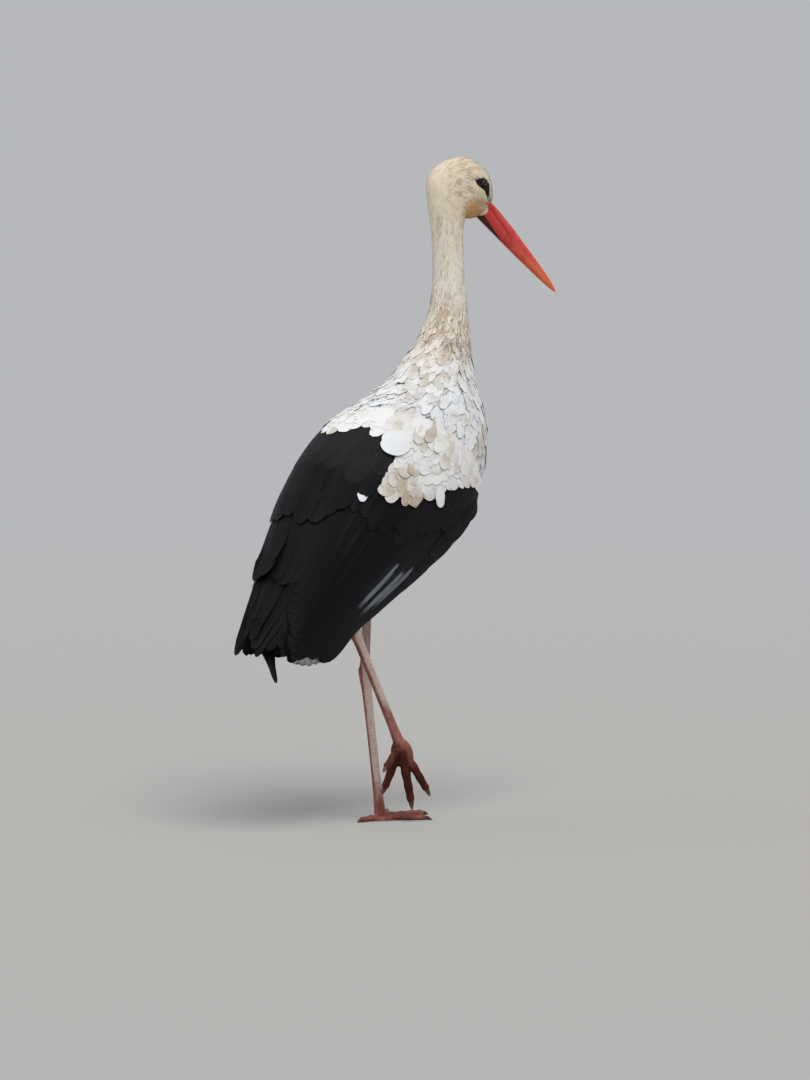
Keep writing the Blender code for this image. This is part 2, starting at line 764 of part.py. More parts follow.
def build():
    clear_scene()
    white = material("white plumage", (0.82, 0.78, 0.70), 0.85)
    cream = material("cream plumage", (0.80, 0.72, 0.58), 0.85)
    black = material("black plumage", (0.022, 0.021, 0.024), 0.65)
    bill_red = material("bill horn", (0.62, 0.11, 0.06), 0.45)
    eye_dark = material("eye", (0.02, 0.014, 0.012), 0.10)
    leg_red = material("leg skin", (0.46, 0.20, 0.16), 0.60)
    claw_horn = material("claw horn", (0.12, 0.07, 0.05), 0.50)

    head = body_piece("head", "bill root", "neck top", 17, cream)
    body_piece("neck_upper", "neck top", "low neck", 5, cream)
    body_piece("neck_lower", "low neck", "crop", 6, white)
    body_piece("trunk", "crop", "tail root", 16, white)
    trunk_cutter = body_piece("trunk_cutter", "crop", "tail root", 16, None, GAP, HELPERS)
    half_bill("bill_upper", True, bill_red)
    half_bill("bill_lower", False, bill_red)
    for side, suffix in ((1, "left"), (-1, "right")):
        size = (EYE_RADIUS,) * 3
        ball("eye_" + suffix, eye_centre(side), size, eye_dark, 14, 8, axis=eye_axis(side))
        socket = ball("socket_" + suffix, eye_centre(side), [r + GAP for r in size], None, 14, 8,
                      HELPERS, eye_axis(side))
        cut(head, socket)
        build_wing(side, suffix, white, black)
    build_tail(white)

    build_leg("left", LEFT_KNEE, LEFT_ANKLE, LEFT_FOOT, white, leg_red, trunk_cutter)
    build_leg("right", RIGHT_KNEE, RIGHT_ANKLE, RIGHT_FOOT, white, leg_red, trunk_cutter)
    standing = (Vector((0, 0, 0)), Vector((0, -1, 0)), Vector((-1, 0, 0)), Vector((0, 0, 1)))
    inward = Vector((0.766, 0.643, 0))
    down = Vector((0, -0.26, -0.966)).normalized()
    inward = (inward - down * down.dot(inward)).normalized()
    hanging = (RIGHT_FOOT, down, inward, down.cross(inward).normalized())
    left_cutter = build_foot("left", standing, ground_droop, STANDING_SPREAD, claw_horn, leg_red, True)
    right_cutter = build_foot("right", hanging, hanging_droop, HANGING_SPREAD, claw_horn, leg_red, False,
                              Vector((0.09, 0.66, -0.74)).normalized())
    cut(bpy.data.objects["shank_left"], left_cutter)
    cut(bpy.data.objects["shank_right"], right_cutter)
    for helper in HELPERS.objects:
        helper.hide_render = True
        helper.display_type = "WIRE"


build()
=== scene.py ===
"""Looks of the life-size white stork: one skin, eyes, bill and claws, and a coat of feathers."""

import math

import bmesh
import bpy
import numpy as np
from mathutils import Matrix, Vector
from mathutils.bvhtree import BVHTree


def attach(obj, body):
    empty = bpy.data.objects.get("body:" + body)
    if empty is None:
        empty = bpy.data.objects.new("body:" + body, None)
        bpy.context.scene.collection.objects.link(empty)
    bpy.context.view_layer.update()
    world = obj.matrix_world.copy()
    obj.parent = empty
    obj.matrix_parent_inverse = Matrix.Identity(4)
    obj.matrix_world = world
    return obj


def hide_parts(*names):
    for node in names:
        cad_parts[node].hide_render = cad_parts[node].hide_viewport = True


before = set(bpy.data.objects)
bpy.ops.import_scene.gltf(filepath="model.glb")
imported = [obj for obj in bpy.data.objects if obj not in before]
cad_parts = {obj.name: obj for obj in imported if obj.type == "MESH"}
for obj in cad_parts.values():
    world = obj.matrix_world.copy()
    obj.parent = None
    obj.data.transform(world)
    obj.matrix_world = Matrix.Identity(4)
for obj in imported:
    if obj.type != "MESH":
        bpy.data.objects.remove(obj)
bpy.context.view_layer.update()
MM = 0.001
SIDES = ((1, "left"), (-1, "right"))


# ---- numbers and curves

def ease(x):
    x = np.clip(x, 0.0, 1.0)
    return x * x * (3 - 2 * x)


def between(x, low, high):
    """0 below low, 1 above high, smooth between them."""
    return ease((np.asarray(x, float) - low) / (high - low))


def hump(x, middle, reach):
    """1 at the middle, falling away on both sides."""
    return np.exp(-((x - middle) / reach) ** 2)


def unit(v):
    v = np.asarray(v, float)
    return v / np.maximum(np.linalg.norm(v, axis=-1, keepdims=True), 1e-9)


def power(value, fullness):
    return np.sign(value) * np.abs(value) ** (2 / fullness)


def round_steps(count, whole=1.0):
    """Even steps once round, without the last."""
    return np.linspace(0, whole, count, endpoint=False)


def capped(values):
    """Values of the rings of a loft, with those of its two end rings."""
    return np.concatenate([values[:1], values, values[-1:]])


class Curve:
    """A curve through (x, y) points that never swings past them."""

    def __init__(self, points):
        self.x, self.y = np.array(points, float).T
        self.step = np.diff(self.x)
        rise = np.diff(self.y) / self.step
        self.slope = np.concatenate([rise[:1], np.zeros(len(rise) - 1), rise[-1:]])
        for i in range(1, len(rise)):
            if rise[i - 1] * rise[i] > 0:
                self.slope[i] = 2 * rise[i - 1] * rise[i] / (rise[i - 1] + rise[i])

    def __call__(self, x):
        x = np.clip(np.asarray(x, float), self.x[0], self.x[-1])
        i = np.clip(np.searchsorted(self.x, x) - 1, 0, len(self.x) - 2)
        t = (x - self.x[i]) / self.step[i]
        start = (1 + 2 * t) * (1 - t) ** 2 * self.y[i] \
            + t * (1 - t) ** 2 * self.step[i] * self.slope[i]
        end = t * t * (3 - 2 * t) * self.y[i + 1] \
            + t * t * (t - 1) * self.step[i] * self.slope[i + 1]
        return start + end


def curves_of(table):
    """One curve for each column of a table, over its first column."""
    return [Curve([(row[0], row[k]) for row in table]) for k in range(1, len(table[0]))]


# ---- the form of the bird, in mm

NECK_Y = -147.0         # the neck rises on this line; "forward" is measured from it
HEAD_TURN = 18.0        # the head looks this far to the bird's right, in degrees
TRUNK_SLOPE = math.radians(57.0)
TRUNK_ORIGIN = (0.0, -100.0, 650.0)


def profile_point(forward, height, side, turn):
    """A point of the head and neck, given in the bird's own upright plane."""
    forward, height, side, turn = np.broadcast_arrays(forward, height, side, np.radians(turn))
    x = -forward * np.sin(turn) + side * np.cos(turn)
    y = NECK_Y - forward * np.cos(turn) - side * np.sin(turn)
    return np.stack([x, y, height], -1).astype(float)


def head_plane(points):
    """(forward, height, side) of points in the plane of the turned head."""
    turn = math.radians(HEAD_TURN)
    x, y = points[..., 0], points[..., 1] - NECK_Y
    return (-x * math.sin(turn) - y * math.cos(turn), points[..., 2],
            x * math.cos(turn) - y * math.sin(turn))


def trunk_point(along, out, side=0.0):
    """A point of the trunk: distance toward the tail, distance toward the back, and side."""
    along, out, side = np.broadcast_arrays(np.asarray(along, float), out, side)
    x0, y0, z0 = TRUNK_ORIGIN
    y = y0 + along * math.cos(TRUNK_SLOPE) + out * math.sin(TRUNK_SLOPE)
    z = z0 - along * math.sin(TRUNK_SLOPE) + out * math.cos(TRUNK_SLOPE)
    return np.stack([x0 + side, y, z], -1)


def trunk_frame(points):
    """(along, out, side) of points in the sloping frame of the trunk."""
    y, z = points[..., 1] - TRUNK_ORIGIN[1], points[..., 2] - TRUNK_ORIGIN[2]
    return (y * math.cos(TRUNK_SLOPE) - z * math.sin(TRUNK_SLOPE),
            y * math.sin(TRUNK_SLOPE) + z * math.cos(TRUNK_SLOPE), points[..., 0])


# Point on the back and point on the throat, each as forward and height; level of the widest
# place between them, half width, fullness, turn.
UPPER_SECTIONS = (
    ("bill root", 73.5, 979.2, 48.6, 955.0, 0.50, 12.5, 2.2, 18),
    ("bristles", 76.0, 989.0, 39.5, 952.8, 0.52, 16.0, 2.2, 18),
    ("lores", 74.6, 999.0, 35.5, 952.3, 0.54, 18.8, 2.2, 18),
    ("eye front", 71.6, 1013.0, 32.5, 952.6, 0.57, 21.6, 2.2, 18),
    ("brow", 65.0, 1028.0, 30.3, 953.0, 0.58, 24.6, 2.2, 18),
    ("forehead", 50.5, 1040.4, 28.4, 953.2, 0.57, 27.2, 2.2, 18),
    ("crown", 23.4, 1051.4, 26.8, 952.5, 0.55, 28.8, 2.2, 18),
    ("hind crown", -5.8, 1045.0, 25.9, 951.0, 0.53, 28.8, 2.2, 17),
    ("back of head", -27.5, 1030.3, 25.4, 948.0, 0.52, 28.2, 2.2, 15),
    ("nape", -37.5, 1006.0, 25.0, 944.0, 0.51, 27.2, 2.1, 12),
    ("under nape", -36.5, 982.0, 24.7, 939.0, 0.50, 26.0, 2.0, 9),
    ("throat", -33.0, 957.0, 24.2, 932.0, 0.50, 25.0, 2.0, 6),
    ("neck top", -28.5, 925.0, 23.0, 920.0, 0.50, 24.5, 2.0, 3),
    ("neck", -26.5, 890.0, 24.5, 889.0, 0.50, 24.6, 2.0, 0),
    ("mid neck", -26.0, 860.0, 26.0, 857.0, 0.50, 25.6, 2.0, 0),
    ("low neck", -30.0, 823.0, 30.5, 817.0, 0.50, 28.6, 2.0, 0),
    ("neck flare", -38.0, 795.0, 32.5, 783.0, 0.50, 32.5, 2.0, 0),
    ("neck root", -53.0, 769.0, 35.5, 751.0, 0.50, 38.8, 2.0, 0),
    ("crop", -77.0, 737.0, 39.5, 713.0, 0.50, 48.0, 2.05, 0),
    ("shoulder top", -113.0, 700.0, 47.0, 672.0, 0.49, 62.0, 2.1, 0),
)
# The same in the frame of the trunk, as distance toward the tail and toward the back; no turn.
TRUNK_SECTIONS = (
    ("shoulder", 30, 100, -20, -113, 0.48, 78, 2.15), ("breast", 70, 124, 25, -139, 0.48, 84, 2.15),
    ("mantle", 104, 139, 62, -138, 0.48, 83, 2.2), ("mid back", 131, 144, 98, -128, 0.48, 81, 2.2),
    ("back", 155, 148, 133, -114, 0.48, 79, 2.2), ("flank", 195, 154, 188, -92, 0.50, 77, 2.2),
    ("belly", 250, 144, 255, -68, 0.50, 67, 2.2), ("rump", 300, 120, 305, -50, 0.50, 54, 2.15),
    ("vent", 333, 88, 335, -34, 0.50, 40, 2.1), ("tail root", 352, 62, 352, -22, 0.50, 31, 2.0),
)


def spine_sections():
    rows = list(UPPER_SECTIONS)
    for name, back_along, back_out, low_along, low_out, *widths in TRUNK_SECTIONS:
        top, low = trunk_point(back_along, back_out), trunk_point(low_along, low_out)
        rows.append((name, NECK_Y - top[1], top[2], NECK_Y - low[1], low[2], *widths, 0))
    return rows


SPINE = spine_sections()
MIDDLES = [((s[1] + s[3]) / 2, (s[2] + s[4]) / 2) for s in SPINE]
MARKS = [0.0]
for one, two in zip(MIDDLES[:-1], MIDDLES[1:]):
    MARKS.append(MARKS[-1] + math.dist(one, two))
MARK = {section[0]: mark for section, mark in zip(SPINE, MARKS)}
SPINE_CURVES = curves_of([(mark, *section[1:]) for mark, section in zip(MARKS, SPINE)])


def body_shape(mark, around, inward=0.0):
    """A point of the head, neck and trunk. Around runs from 0 on the back by the left side to 1."""
    mark, around = np.broadcast_arrays(np.asarray(mark, float), around)
    back_f, back_h, low_f, low_h, level, half, full, turn = (c(mark) for c in SPINE_CURVES)
    top = profile_point(back_f, back_h, 0.0, turn)
    low = profile_point(low_f, low_h, 0.0, turn)
    centre = low + (top - low) * level[..., None]
    angle = np.radians(turn)
    side = np.stack([np.cos(angle), -np.sin(angle), np.zeros_like(angle)], -1)
    up_size, low_size = (np.linalg.norm(end - centre, axis=-1) - inward for end in (top, low))
    phi = 2 * np.pi * around
    across = power(np.sin(phi), full) * (half - inward)
    rise = power(np.cos(phi), full)
    rise = rise * np.where(rise > 0, up_size, low_size)
    return centre + side * across[..., None] + unit(top - centre) * rise[..., None]


# The envelope over the folded wings, by distance toward the tail: half width, height of the
# back, height of the lower edge, height where it is widest, half width at the lower edge.
WING_CURVES = curves_of((
    (40, 93, 106, -104, -8, 74), (80, 102, 129, -106, -2, 81), (120, 105, 148, -111, 6, 86),
    (160, 106, 159, -103, 14, 86), (200, 106, 164, -91, 22, 84), (250, 104, 165, -72, 32, 80),
    (300, 99, 160, -51, 42, 76), (350, 91, 150, -30, 52, 71), (400, 81, 141, -9, 58, 67),
    (450, 70, 137, 1, 62, 61), (500, 59, 136, 22, 70, 51), (545, 46, 130, 54, 84, 38)))
WING_FULLNESS = 2.2


def wing_shape(side):
    """The shape of one wing's envelope: across runs from 0 on the back to 1 at the lower edge."""
    def shape(along, across, inward=0.0):
        along, across = np.broadcast_arrays(np.asarray(along, float), np.asarray(across, float))
        half, back, low, wide, low_half = (c(along) for c in WING_CURVES)
        a = np.abs(across)
        phi = np.pi * np.minimum(a, 0.5)
        out = (half - inward) * power(np.sin(phi), WING_FULLNESS)
        rise = wide + (back - inward - wide) * power(np.maximum(np.cos(phi), 0.0), WING_FULLNESS)
        share = np.maximum((a - 0.5) / 0.5, 0.0)
        out = np.where(a > 0.5, (half - inward) - (half - low_half) * share * share, out)
        rise = np.where(a > 0.5, wide - (wide - low) * share, rise)
        return trunk_point(along, rise, np.where(across < 0, -side, side) * out)
    return shape


# Edges of the wing's layers, as (across, along).
COVERT_FRONT = Curve(((0.16, 72), (0.30, 62), (0.50, 60), (0.70, 61), (0.85, 68), (0.97, 75),
                      (1.0, 75)))
COVERT_TIPS = Curve(((0.16, 98), (0.22, 117), (0.30, 125), (0.342, 132), (0.358, 204), (0.40, 212),
                     (0.45, 201), (0.51, 181), (0.57, 160), (0.64, 134), (0.73, 113), (0.83, 94),
                     (1.0, 85)))
SCAPULAR_FRONT = Curve(((-0.05, 134), (0.03, 133), (0.09, 118), (0.16, 102), (0.22, 122),
                        (0.28, 130), (0.34, 140), (0.35, 150)))
SCAPULAR_TIPS = Curve(((-0.05, 286), (0.03, 296), (0.09, 300), (0.15, 294), (0.20, 272),
                       (0.26, 240), (0.31, 222), (0.345, 206)))
SECONDARY_TIPS = Curve(((0.03, 392), (0.10, 398), (0.20, 404), (0.28, 440), (0.38, 478),
                        (0.48, 495), (0.60, 488), (0.70, 478), (0.80, 474), (0.90, 470),
                        (0.95, 464), (0.975, 444), (0.99, 398), (1.0, 320)))

# Distance toward the tail, height of the top, height of the underside, half width.
TAIL_CURVES = curves_of((
    (330, 86, -32, 30), (352, 62, -22, 31), (376, 48, -17, 33), (404, 34, -9, 36),
    (432, 22, -3, 39), (456, 13, 1.5, 42), (470, 8.5, 4.5, 44)))


def tail_shape(along, around, inward=0.0):
    along, around = np.broadcast_arrays(np.asarray(along, float), around)
    top, low, half = (c(along) for c in TAIL_CURVES)
    phi = 2 * np.pi * around
    rise = (top + low) / 2 + ((top - low) / 2 - inward) * power(np.cos(phi), 2.2)
    return trunk_point(along, rise, (half - inward) * power(np.sin(phi), 2.2))


# Legs: knee, ankle, foot.
LEGS = {"left": ((36, -9, 446), (18, 16, 236), (0, 0, 11)),
        "right": ((-46, -86, 453), (-50, 101, 317), (-50, 1, 122))}
# Share of the way from knee to ankle, half depth, half width.
THIGH_CURVES = curves_of((
    (-0.162, 4, 3), (-0.155, 12, 9), (-0.14, 18.5, 14), (-0.11, 24.5, 18.5), (-0.04, 29, 22),
    (0.08, 28, 21.5), (0.20, 24, 19), (0.32, 19, 16), (0.42, 14.5, 12.5), (0.50, 10.5, 9.8),
    (0.60, 8.0, 7.6)))


def thigh_shape(suffix):
    knee, ankle = (np.array(p, float) for p in LEGS[suffix][:2])
    line = ankle - knee
    forward = unit(np.cross((1, 0, 0), line))
    side = unit(np.cross(forward, line))

    def shape(share, around, inward=0.0):
        share, around = np.broadcast_arrays(np.asarray(share, float), around)
        deep, wide = (np.maximum(c(share) - inward, 0.5) for c in THIGH_CURVES)
        phi = 2 * np.pi * around
        return (knee + line * share[..., None] + forward * (deep * np.cos(phi))[..., None]
                + side * (wide * np.sin(phi))[..., None])
    return shape


class Surface:
    """A form sampled closely, so that many feathers can be laid on it at once."""

    def __init__(self, shape, u_range, v_range, u_count, v_count, closed):
        self.u0, self.u1 = u_range
        self.v0, self.v1 = v_range
        self.closed = closed
        self.us = np.linspace(*u_range, u_count)
        self.vs = np.linspace(*v_range, v_count)
        # A second form a little inside tells which way is out.
        grid, inner = (shape(self.us[:, None], self.vs[None, :], inward) for inward in (0.0, 2.0))
        dv = (self.v1 - self.v0) / (v_count - 1)
        along = np.gradient(grid, (self.u1 - self.u0) / (u_count - 1), axis=0)
        if closed:
            padded = np.concatenate([grid[:, -2:-1], grid, grid[:, 1:2]], axis=1)
            across = (padded[:, 2:] - padded[:, :-2]) / (2 * dv)
        else:
            across = np.gradient(grid, dv, axis=1)
        normal = unit(np.cross(along, across))
        if ((grid - inner) * normal).sum(-1).mean() < 0:
            normal = -normal
        self.grid, self.normal = grid, normal
        self.rate_u, self.rate_v = (np.maximum(np.linalg.norm(way, axis=-1), 1e-3)
                                    for way in (along, across))

    def read(self, table, u, v):
        if self.closed:
            v = np.mod(v, 1.0)
        i = np.clip((u - self.u0) / (self.u1 - self.u0), 0, 1) * (len(self.us) - 1)
        j = np.clip((v - self.v0) / (self.v1 - self.v0), 0, 1) * (len(self.vs) - 1)
        i0 = np.minimum(i.astype(int), len(self.us) - 2)
        j0 = np.minimum(j.astype(int), len(self.vs) - 2)
        fi, fj = i - i0, j - j0
        if table.ndim == 3:
            fi, fj = fi[..., None], fj[..., None]
        return ((table[i0, j0] * (1 - fi) + table[i0 + 1, j0] * fi) * (1 - fj)
                + (table[i0, j0 + 1] * (1 - fi) + table[i0 + 1, j0 + 1] * fi) * fj)

    def place(self, u, v, height):
        return (self.read(self.grid, u, v)
                + unit(self.read(self.normal, u, v)) * np.asarray(height)[..., None])


BODY_SURFACE = Surface(body_shape, (0.0, MARKS[-1]), (0.0, 1.0), 620, 161, True)
WING_SURFACES = {suffix: Surface(wing_shape(side), (30, 560), (-0.14, 1.04), 266, 200, False)
                 for side, suffix in SIDES}
TAIL_SURFACE = Surface(tail_shape, (332, 480), (0.0, 1.0), 75, 81, True)
THIGH_SURFACES = {suffix: Surface(thigh_shape(suffix), (-0.162, 0.6), (0.0, 1.0), 160, 61, True)
                  for side, suffix in SIDES}


# ---- meshes

def fill_mesh(name, points, quads, values=None, uvs=None):
    """A mesh from arrays: points in mm, quads as indices, values and uvs per point."""
    mesh = bpy.data.meshes.new(name)
    quads = np.asarray(quads, np.int32)
    mesh.vertices.add(len(points))
    mesh.vertices.foreach_set("co", (np.asarray(points, np.float32) * MM).ravel())
    mesh.loops.add(quads.size)
    mesh.loops.foreach_set("vertex_index", quads.ravel())
    mesh.polygons.add(len(quads))
    mesh.polygons.foreach_set("loop_start", np.arange(0, quads.size, 4, dtype=np.int32))
    mesh.update(calc_edges=True)
    mesh.polygons.foreach_set("use_smooth", np.ones(len(quads), bool))
    for layer_name, uv in (uvs or {}).items():
        layer = mesh.uv_layers.new(name=layer_name)
        layer.data.foreach_set("uv", np.asarray(uv, np.float32)[quads.ravel()].ravel())
    for key, value in (values or {}).items():
        made = mesh.attributes.new(key, "FLOAT", "POINT")
        made.data.foreach_set("value", np.asarray(value, np.float32).ravel())
    mesh.validate()
    return mesh


def show(name, mesh, *materials):
    obj = bpy.data.objects.new(name, mesh)
    bpy.context.scene.collection.objects.link(obj)
    mesh.materials.clear()
    for made in materials:
        mesh.materials.append(made)
    return obj


def add_piece(name, points, quads, values, materials, slot, nodes, uvs=None):
    """A piece of the bird: it rides on the bird's one body and stands for some of its solids."""
    mesh = fill_mesh(name, points, quads, values, uvs)
    obj = show(name, mesh, *materials)
    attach(obj, "root")
    if nodes:
        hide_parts(*nodes)
    print(name, 2 * len(mesh.polygons), "triangles")
    return mesh


def grid_quads(rows, cols, closed=False):
    """Quads of a grid of (rows + 1) by (cols + 1) points, or by cols points when it closes."""
    wide = cols if closed else cols + 1
    i, j = np.arange(rows)[:, None], np.arange(cols)[None, :]
    k = (j + 1) % wide
    here, after = i * wide, (i + 1) * wide
    return np.stack([here + j, here + k, after + k, after + j], -1).reshape(-1, 4)


END_SIZE = 0.02         # how small the last ring of a loft is, beside the one before it


def loft(rings, closed_ends=True):
    """Points and quads over rings of equal count; each end is closed by a small last ring."""
    rings = np.asarray(rings, float)
    if closed_ends:
        first, last = (end.mean(0) + (end - end.mean(0)) * END_SIZE
                       for end in (rings[0], rings[-1]))
        rings = np.concatenate([first[None], rings, last[None]])
    return rings.reshape(-1, 3), grid_quads(len(rings) - 1, rings.shape[1], closed=True)


def tube(path, radii, upward, sides, flat=1.0):
    """Rings of a round bar along a path. Flat below 1 makes it lower than it is wide."""
    radii = radii[:, None, None]
    way = unit(np.gradient(path, axis=0))
    side = unit(np.cross(way, upward))
    lift = unit(np.cross(side, way))
    phi = round_steps(sides, 2 * np.pi)[None, :, None]
    return (path[:, None] + side[:, None] * (np.cos(phi) * radii)
            + lift[:, None] * (np.sin(phi) * radii * flat))


def ball_shell(centre, axes, radii, sides=24):
    theta = np.linspace(0.05, np.pi - 0.05, sides // 2)[:, None, None]
    phi = round_steps(sides, 2 * np.pi)[None, :, None]
    a, b, c = (np.array(q, float) for q in axes)
    return loft(np.array(centre, float) + a * radii[0] * np.sin(theta) * np.cos(phi)
                + b * radii[1] * np.sin(theta) * np.sin(phi) + c * radii[2] * np.cos(theta))


def joined(parts):
    """Points and quads of several shells as one list each."""
    shift = np.cumsum([0] + [len(part[0]) for part in parts[:-1]])
    return (np.concatenate([part[0] for part in parts]),
            np.concatenate([part[1] + start for part, start in zip(parts, shift)]))


def fused(name, parts, voxel, rounds):
    """One closed skin over several overlapping shells."""
    mesh = fill_mesh(name, *joined(parts))
    shape = bmesh.new()
    shape.from_mesh(mesh)
    bmesh.ops.holes_fill(shape, edges=[e for e in shape.edges if e.is_boundary], sides=0)
    bmesh.ops.recalc_face_normals(shape, faces=shape.faces)
    shape.to_mesh(mesh)
    shape.free()
    obj = show(name, mesh)
    remesh = obj.modifiers.new("Fuse", "REMESH")
    remesh.mode = "VOXEL"
    remesh.voxel_size = voxel * MM
    soft = obj.modifiers.new("Soften", "SMOOTH")
    soft.factor = 0.5
    soft.iterations = rounds
    bpy.context.view_layer.update()
    graph = bpy.context.evaluated_depsgraph_get()
    result = bpy.data.meshes.new_from_object(obj.evaluated_get(graph))
    bpy.data.objects.remove(obj, do_unlink=True)
    bpy.data.meshes.remove(mesh)
    co = np.empty(len(result.vertices) * 3, np.float32)
    result.vertices.foreach_get("co", co)
    loops = np.empty(len(result.loops), np.int32)
    result.loops.foreach_get("vertex_index", loops)
    bpy.data.meshes.remove(result)
    return co.reshape(-1, 3) / MM, loops.reshape(-1, 4)


# ---- materials

class Num:
    """A number or colour inside a material. Arithmetic on it adds Math nodes."""

    def __init__(self, paint, socket):
        self.paint, self.socket = paint, socket

    def __add__(self, other):
        return self.paint.math("ADD", self, other)

    def __sub__(self, other):
        return self.paint.math("SUBTRACT", self, other)

    def __rsub__(self, other):
        return self.paint.math("SUBTRACT", other, self)

    def __mul__(self, other):
        return self.paint.math("MULTIPLY", self, other)

    def __truediv__(self, other):
        return self.paint.math("DIVIDE", self, other)

    def __rtruediv__(self, other):
        return self.paint.math("DIVIDE", other, self)

    __radd__, __rmul__ = __add__, __mul__


class Paint:
    """A Principled material that is built up by expressions."""

    def __init__(self, name, **constants):
        self.material = bpy.data.materials.new(name)
        self.material.use_nodes = True
        self.tree = self.material.node_tree
        self.shader = self.tree.nodes["Principled BSDF"]
        self.done(**constants)

    def feed(self, socket, value):
        if isinstance(value, Num):
            self.tree.links.new(value.socket, socket)
        elif socket.type == "RGBA" and len(value) == 3:
            socket.default_value = (*value, 1.0)
        else:
            socket.default_value = value

    def node(self, kind, settings=None, sockets=None, out=0):
        made = self.tree.nodes.new("ShaderNode" + kind)
        for key, value in (settings or {}).items():
            setattr(made, key, value)
        for key, value in (sockets or {}).items():
            self.feed(made.inputs[key], value)
        return Num(self, made.outputs[out])

    def math(self, operation, *values):
        return self.node("Math", {"operation": operation}, dict(enumerate(values)))

    def mix(self, factor, one, two):
        """A colour between two, where the factor goes from 0 to 1."""
        return self.node("Mix", {"data_type": "RGBA"}, {0: factor, 6: one, 7: two}, 2)

    def layers(self, base, *over):
        """A colour with others over it, each by its own factor."""
        for factor, colour in over:
            base = self.mix(factor, base, colour)
        return base

    def value(self, name):
        return self.node("Attribute", {"attribute_name": name}, None, 2)

    def place(self, scale=(1, 1, 1)):
        """Where a point is on the object, in metres, stretched by the scale."""
        spot = self.node("TexCoord", None, None, 3)
        return self.node("VectorMath", {"operation": "MULTIPLY"}, {0: spot, 1: scale})

    def noise(self, where, scale, detail=3.0, rough=0.55):
        return self.node("TexNoise", None, {"Vector": where, "Scale": scale, "Detail": detail,
                                            "Roughness": rough})

    def cracks(self, scale, stretch=(1, 1, 1)):
        """Distance to the edges of small cells."""
        return self.node("TexVoronoi", {"feature": "DISTANCE_TO_EDGE"},
                         {"Vector": self.place(stretch), "Scale": scale})

    def step(self, value, low, high, start=0.0, end=1.0):
        return self.node("MapRange", {"interpolation_type": "SMOOTHSTEP"},
                         {0: value, 1: low, 2: high, 3: start, 4: end})

    def spot(self, first, second):
        """A place in a flat pattern, from two numbers."""
        return self.node("CombineXYZ", None, {0: first, 1: second})

    def bump(self, height, distance, strength):
        sockets = {"Height": height, "Distance": distance, "Strength": strength}
        return self.node("Bump", None, sockets)

    def done(self, **inputs):
        """Sets or feeds inputs of the shader, named as words_with_lines_between."""
        for key, value in inputs.items():
            self.feed(self.shader.inputs[key.replace("_", " ")], value)
        return self.material


def vane_pattern(paint, spacing):
    """Barbs of a feather, from its place on the vane in mm: height of the ribs and slow streaks."""
    vane = paint.node("UVMap", {"uv_map": "Vane"})
    across, along = (paint.node("SeparateXYZ", None, {0: vane}, k) * 100.0 for k in (0, 1))
    width = paint.math("ABSOLUTE", across)
    barb = along - width * 0.9
    wave = paint.math("SINE", barb * (2 * math.pi / spacing))
    own_place = paint.value("luck") * 50.0
    streak = paint.noise(paint.spot(barb * 0.9 + own_place, width * 0.10), 1.0, 2.0)
    return wave, streak, paint.step(width, 0.15, 0.75, 1.0, 0.0)


def white_plumage():
    paint = Paint("white plumage", Roughness=0.8, Sheen_Weight=0.2, Sheen_Roughness=0.5,
                  Specular_IOR_Level=0.2)
    wave, streak, shaft = vane_pattern(paint, 0.9)
    dirt = paint.noise(paint.place(), 19.0, 4.0, 0.65)
    tone = paint.value("tone")
    # tone holds stains and, behind the tips, painted shade.
    soil_and_shade = paint.step(tone + (streak - 0.5) * 0.35 + (dirt - 0.5) * 1.1, 0.20, 0.90)
    base = paint.layers(
        paint.mix(soil_and_shade, (0.775, 0.80, 0.83), (0.50, 0.425, 0.33)),
        (paint.step(paint.value("cream") + (streak - 0.5) * 0.2, 0.0, 1.0),
         paint.mix(soil_and_shade, (0.84, 0.735, 0.56), (0.57, 0.44, 0.30))),
        (paint.step(paint.value("warm") + (dirt - 0.5) * 0.3 + (streak - 0.5) * 0.4, 0.1, 1.0),
         (0.74, 0.41, 0.16)),
        (paint.value("grey") * paint.step(streak, 0.30, 0.62), (0.36, 0.30, 0.25)),
        # Painted shade toward the root of each vane, where the vanes over it shade it.
        (paint.value("depth") * 0.25, (0.58, 0.51, 0.42)))
    ribs = paint.bump(wave * 0.30 + streak * 1.2 + shaft * 0.4, 0.0003, 0.45)
    return paint.done(Base_Color=base, Normal=ribs)


def black_plumage():
    paint = Paint("black plumage", Specular_IOR_Level=0.10, Sheen_Weight=0.03, Sheen_Roughness=0.45,
                  Sheen_Tint=(0.75, 0.70, 0.85, 1.0))
    wave, streak, shaft = vane_pattern(paint, 1.1)
    dirt = paint.noise(paint.place(), 22.0, 4.0, 0.6)
    tone = paint.value("tone")
    # tone holds wear and, on the scapulars, a painted highlight toward the shoulder.
    wear_and_highlight = paint.step(tone + (streak - 0.5) * 0.5 + (dirt - 0.5) * 0.4, 0.1, 1.0)
    base = paint.layers(
        paint.mix(wear_and_highlight, (0.0038, 0.0036, 0.0052), (0.018, 0.0165, 0.018)),
        (paint.step(paint.value("bloom") + (streak - 0.5) * 0.5, 0.2, 0.8), (0.21, 0.24, 0.28)),
        (shaft * 0.5, (0.009, 0.007, 0.008)))
    rough = paint.step(streak + tone * 0.2, 0.2, 0.9, 0.42, 0.62)
    ribs = paint.bump(wave * 0.30 + streak * 1.3 + shaft * 1.2, 0.0004, 0.6)
    return paint.done(Base_Color=base, Roughness=rough, Normal=ribs)


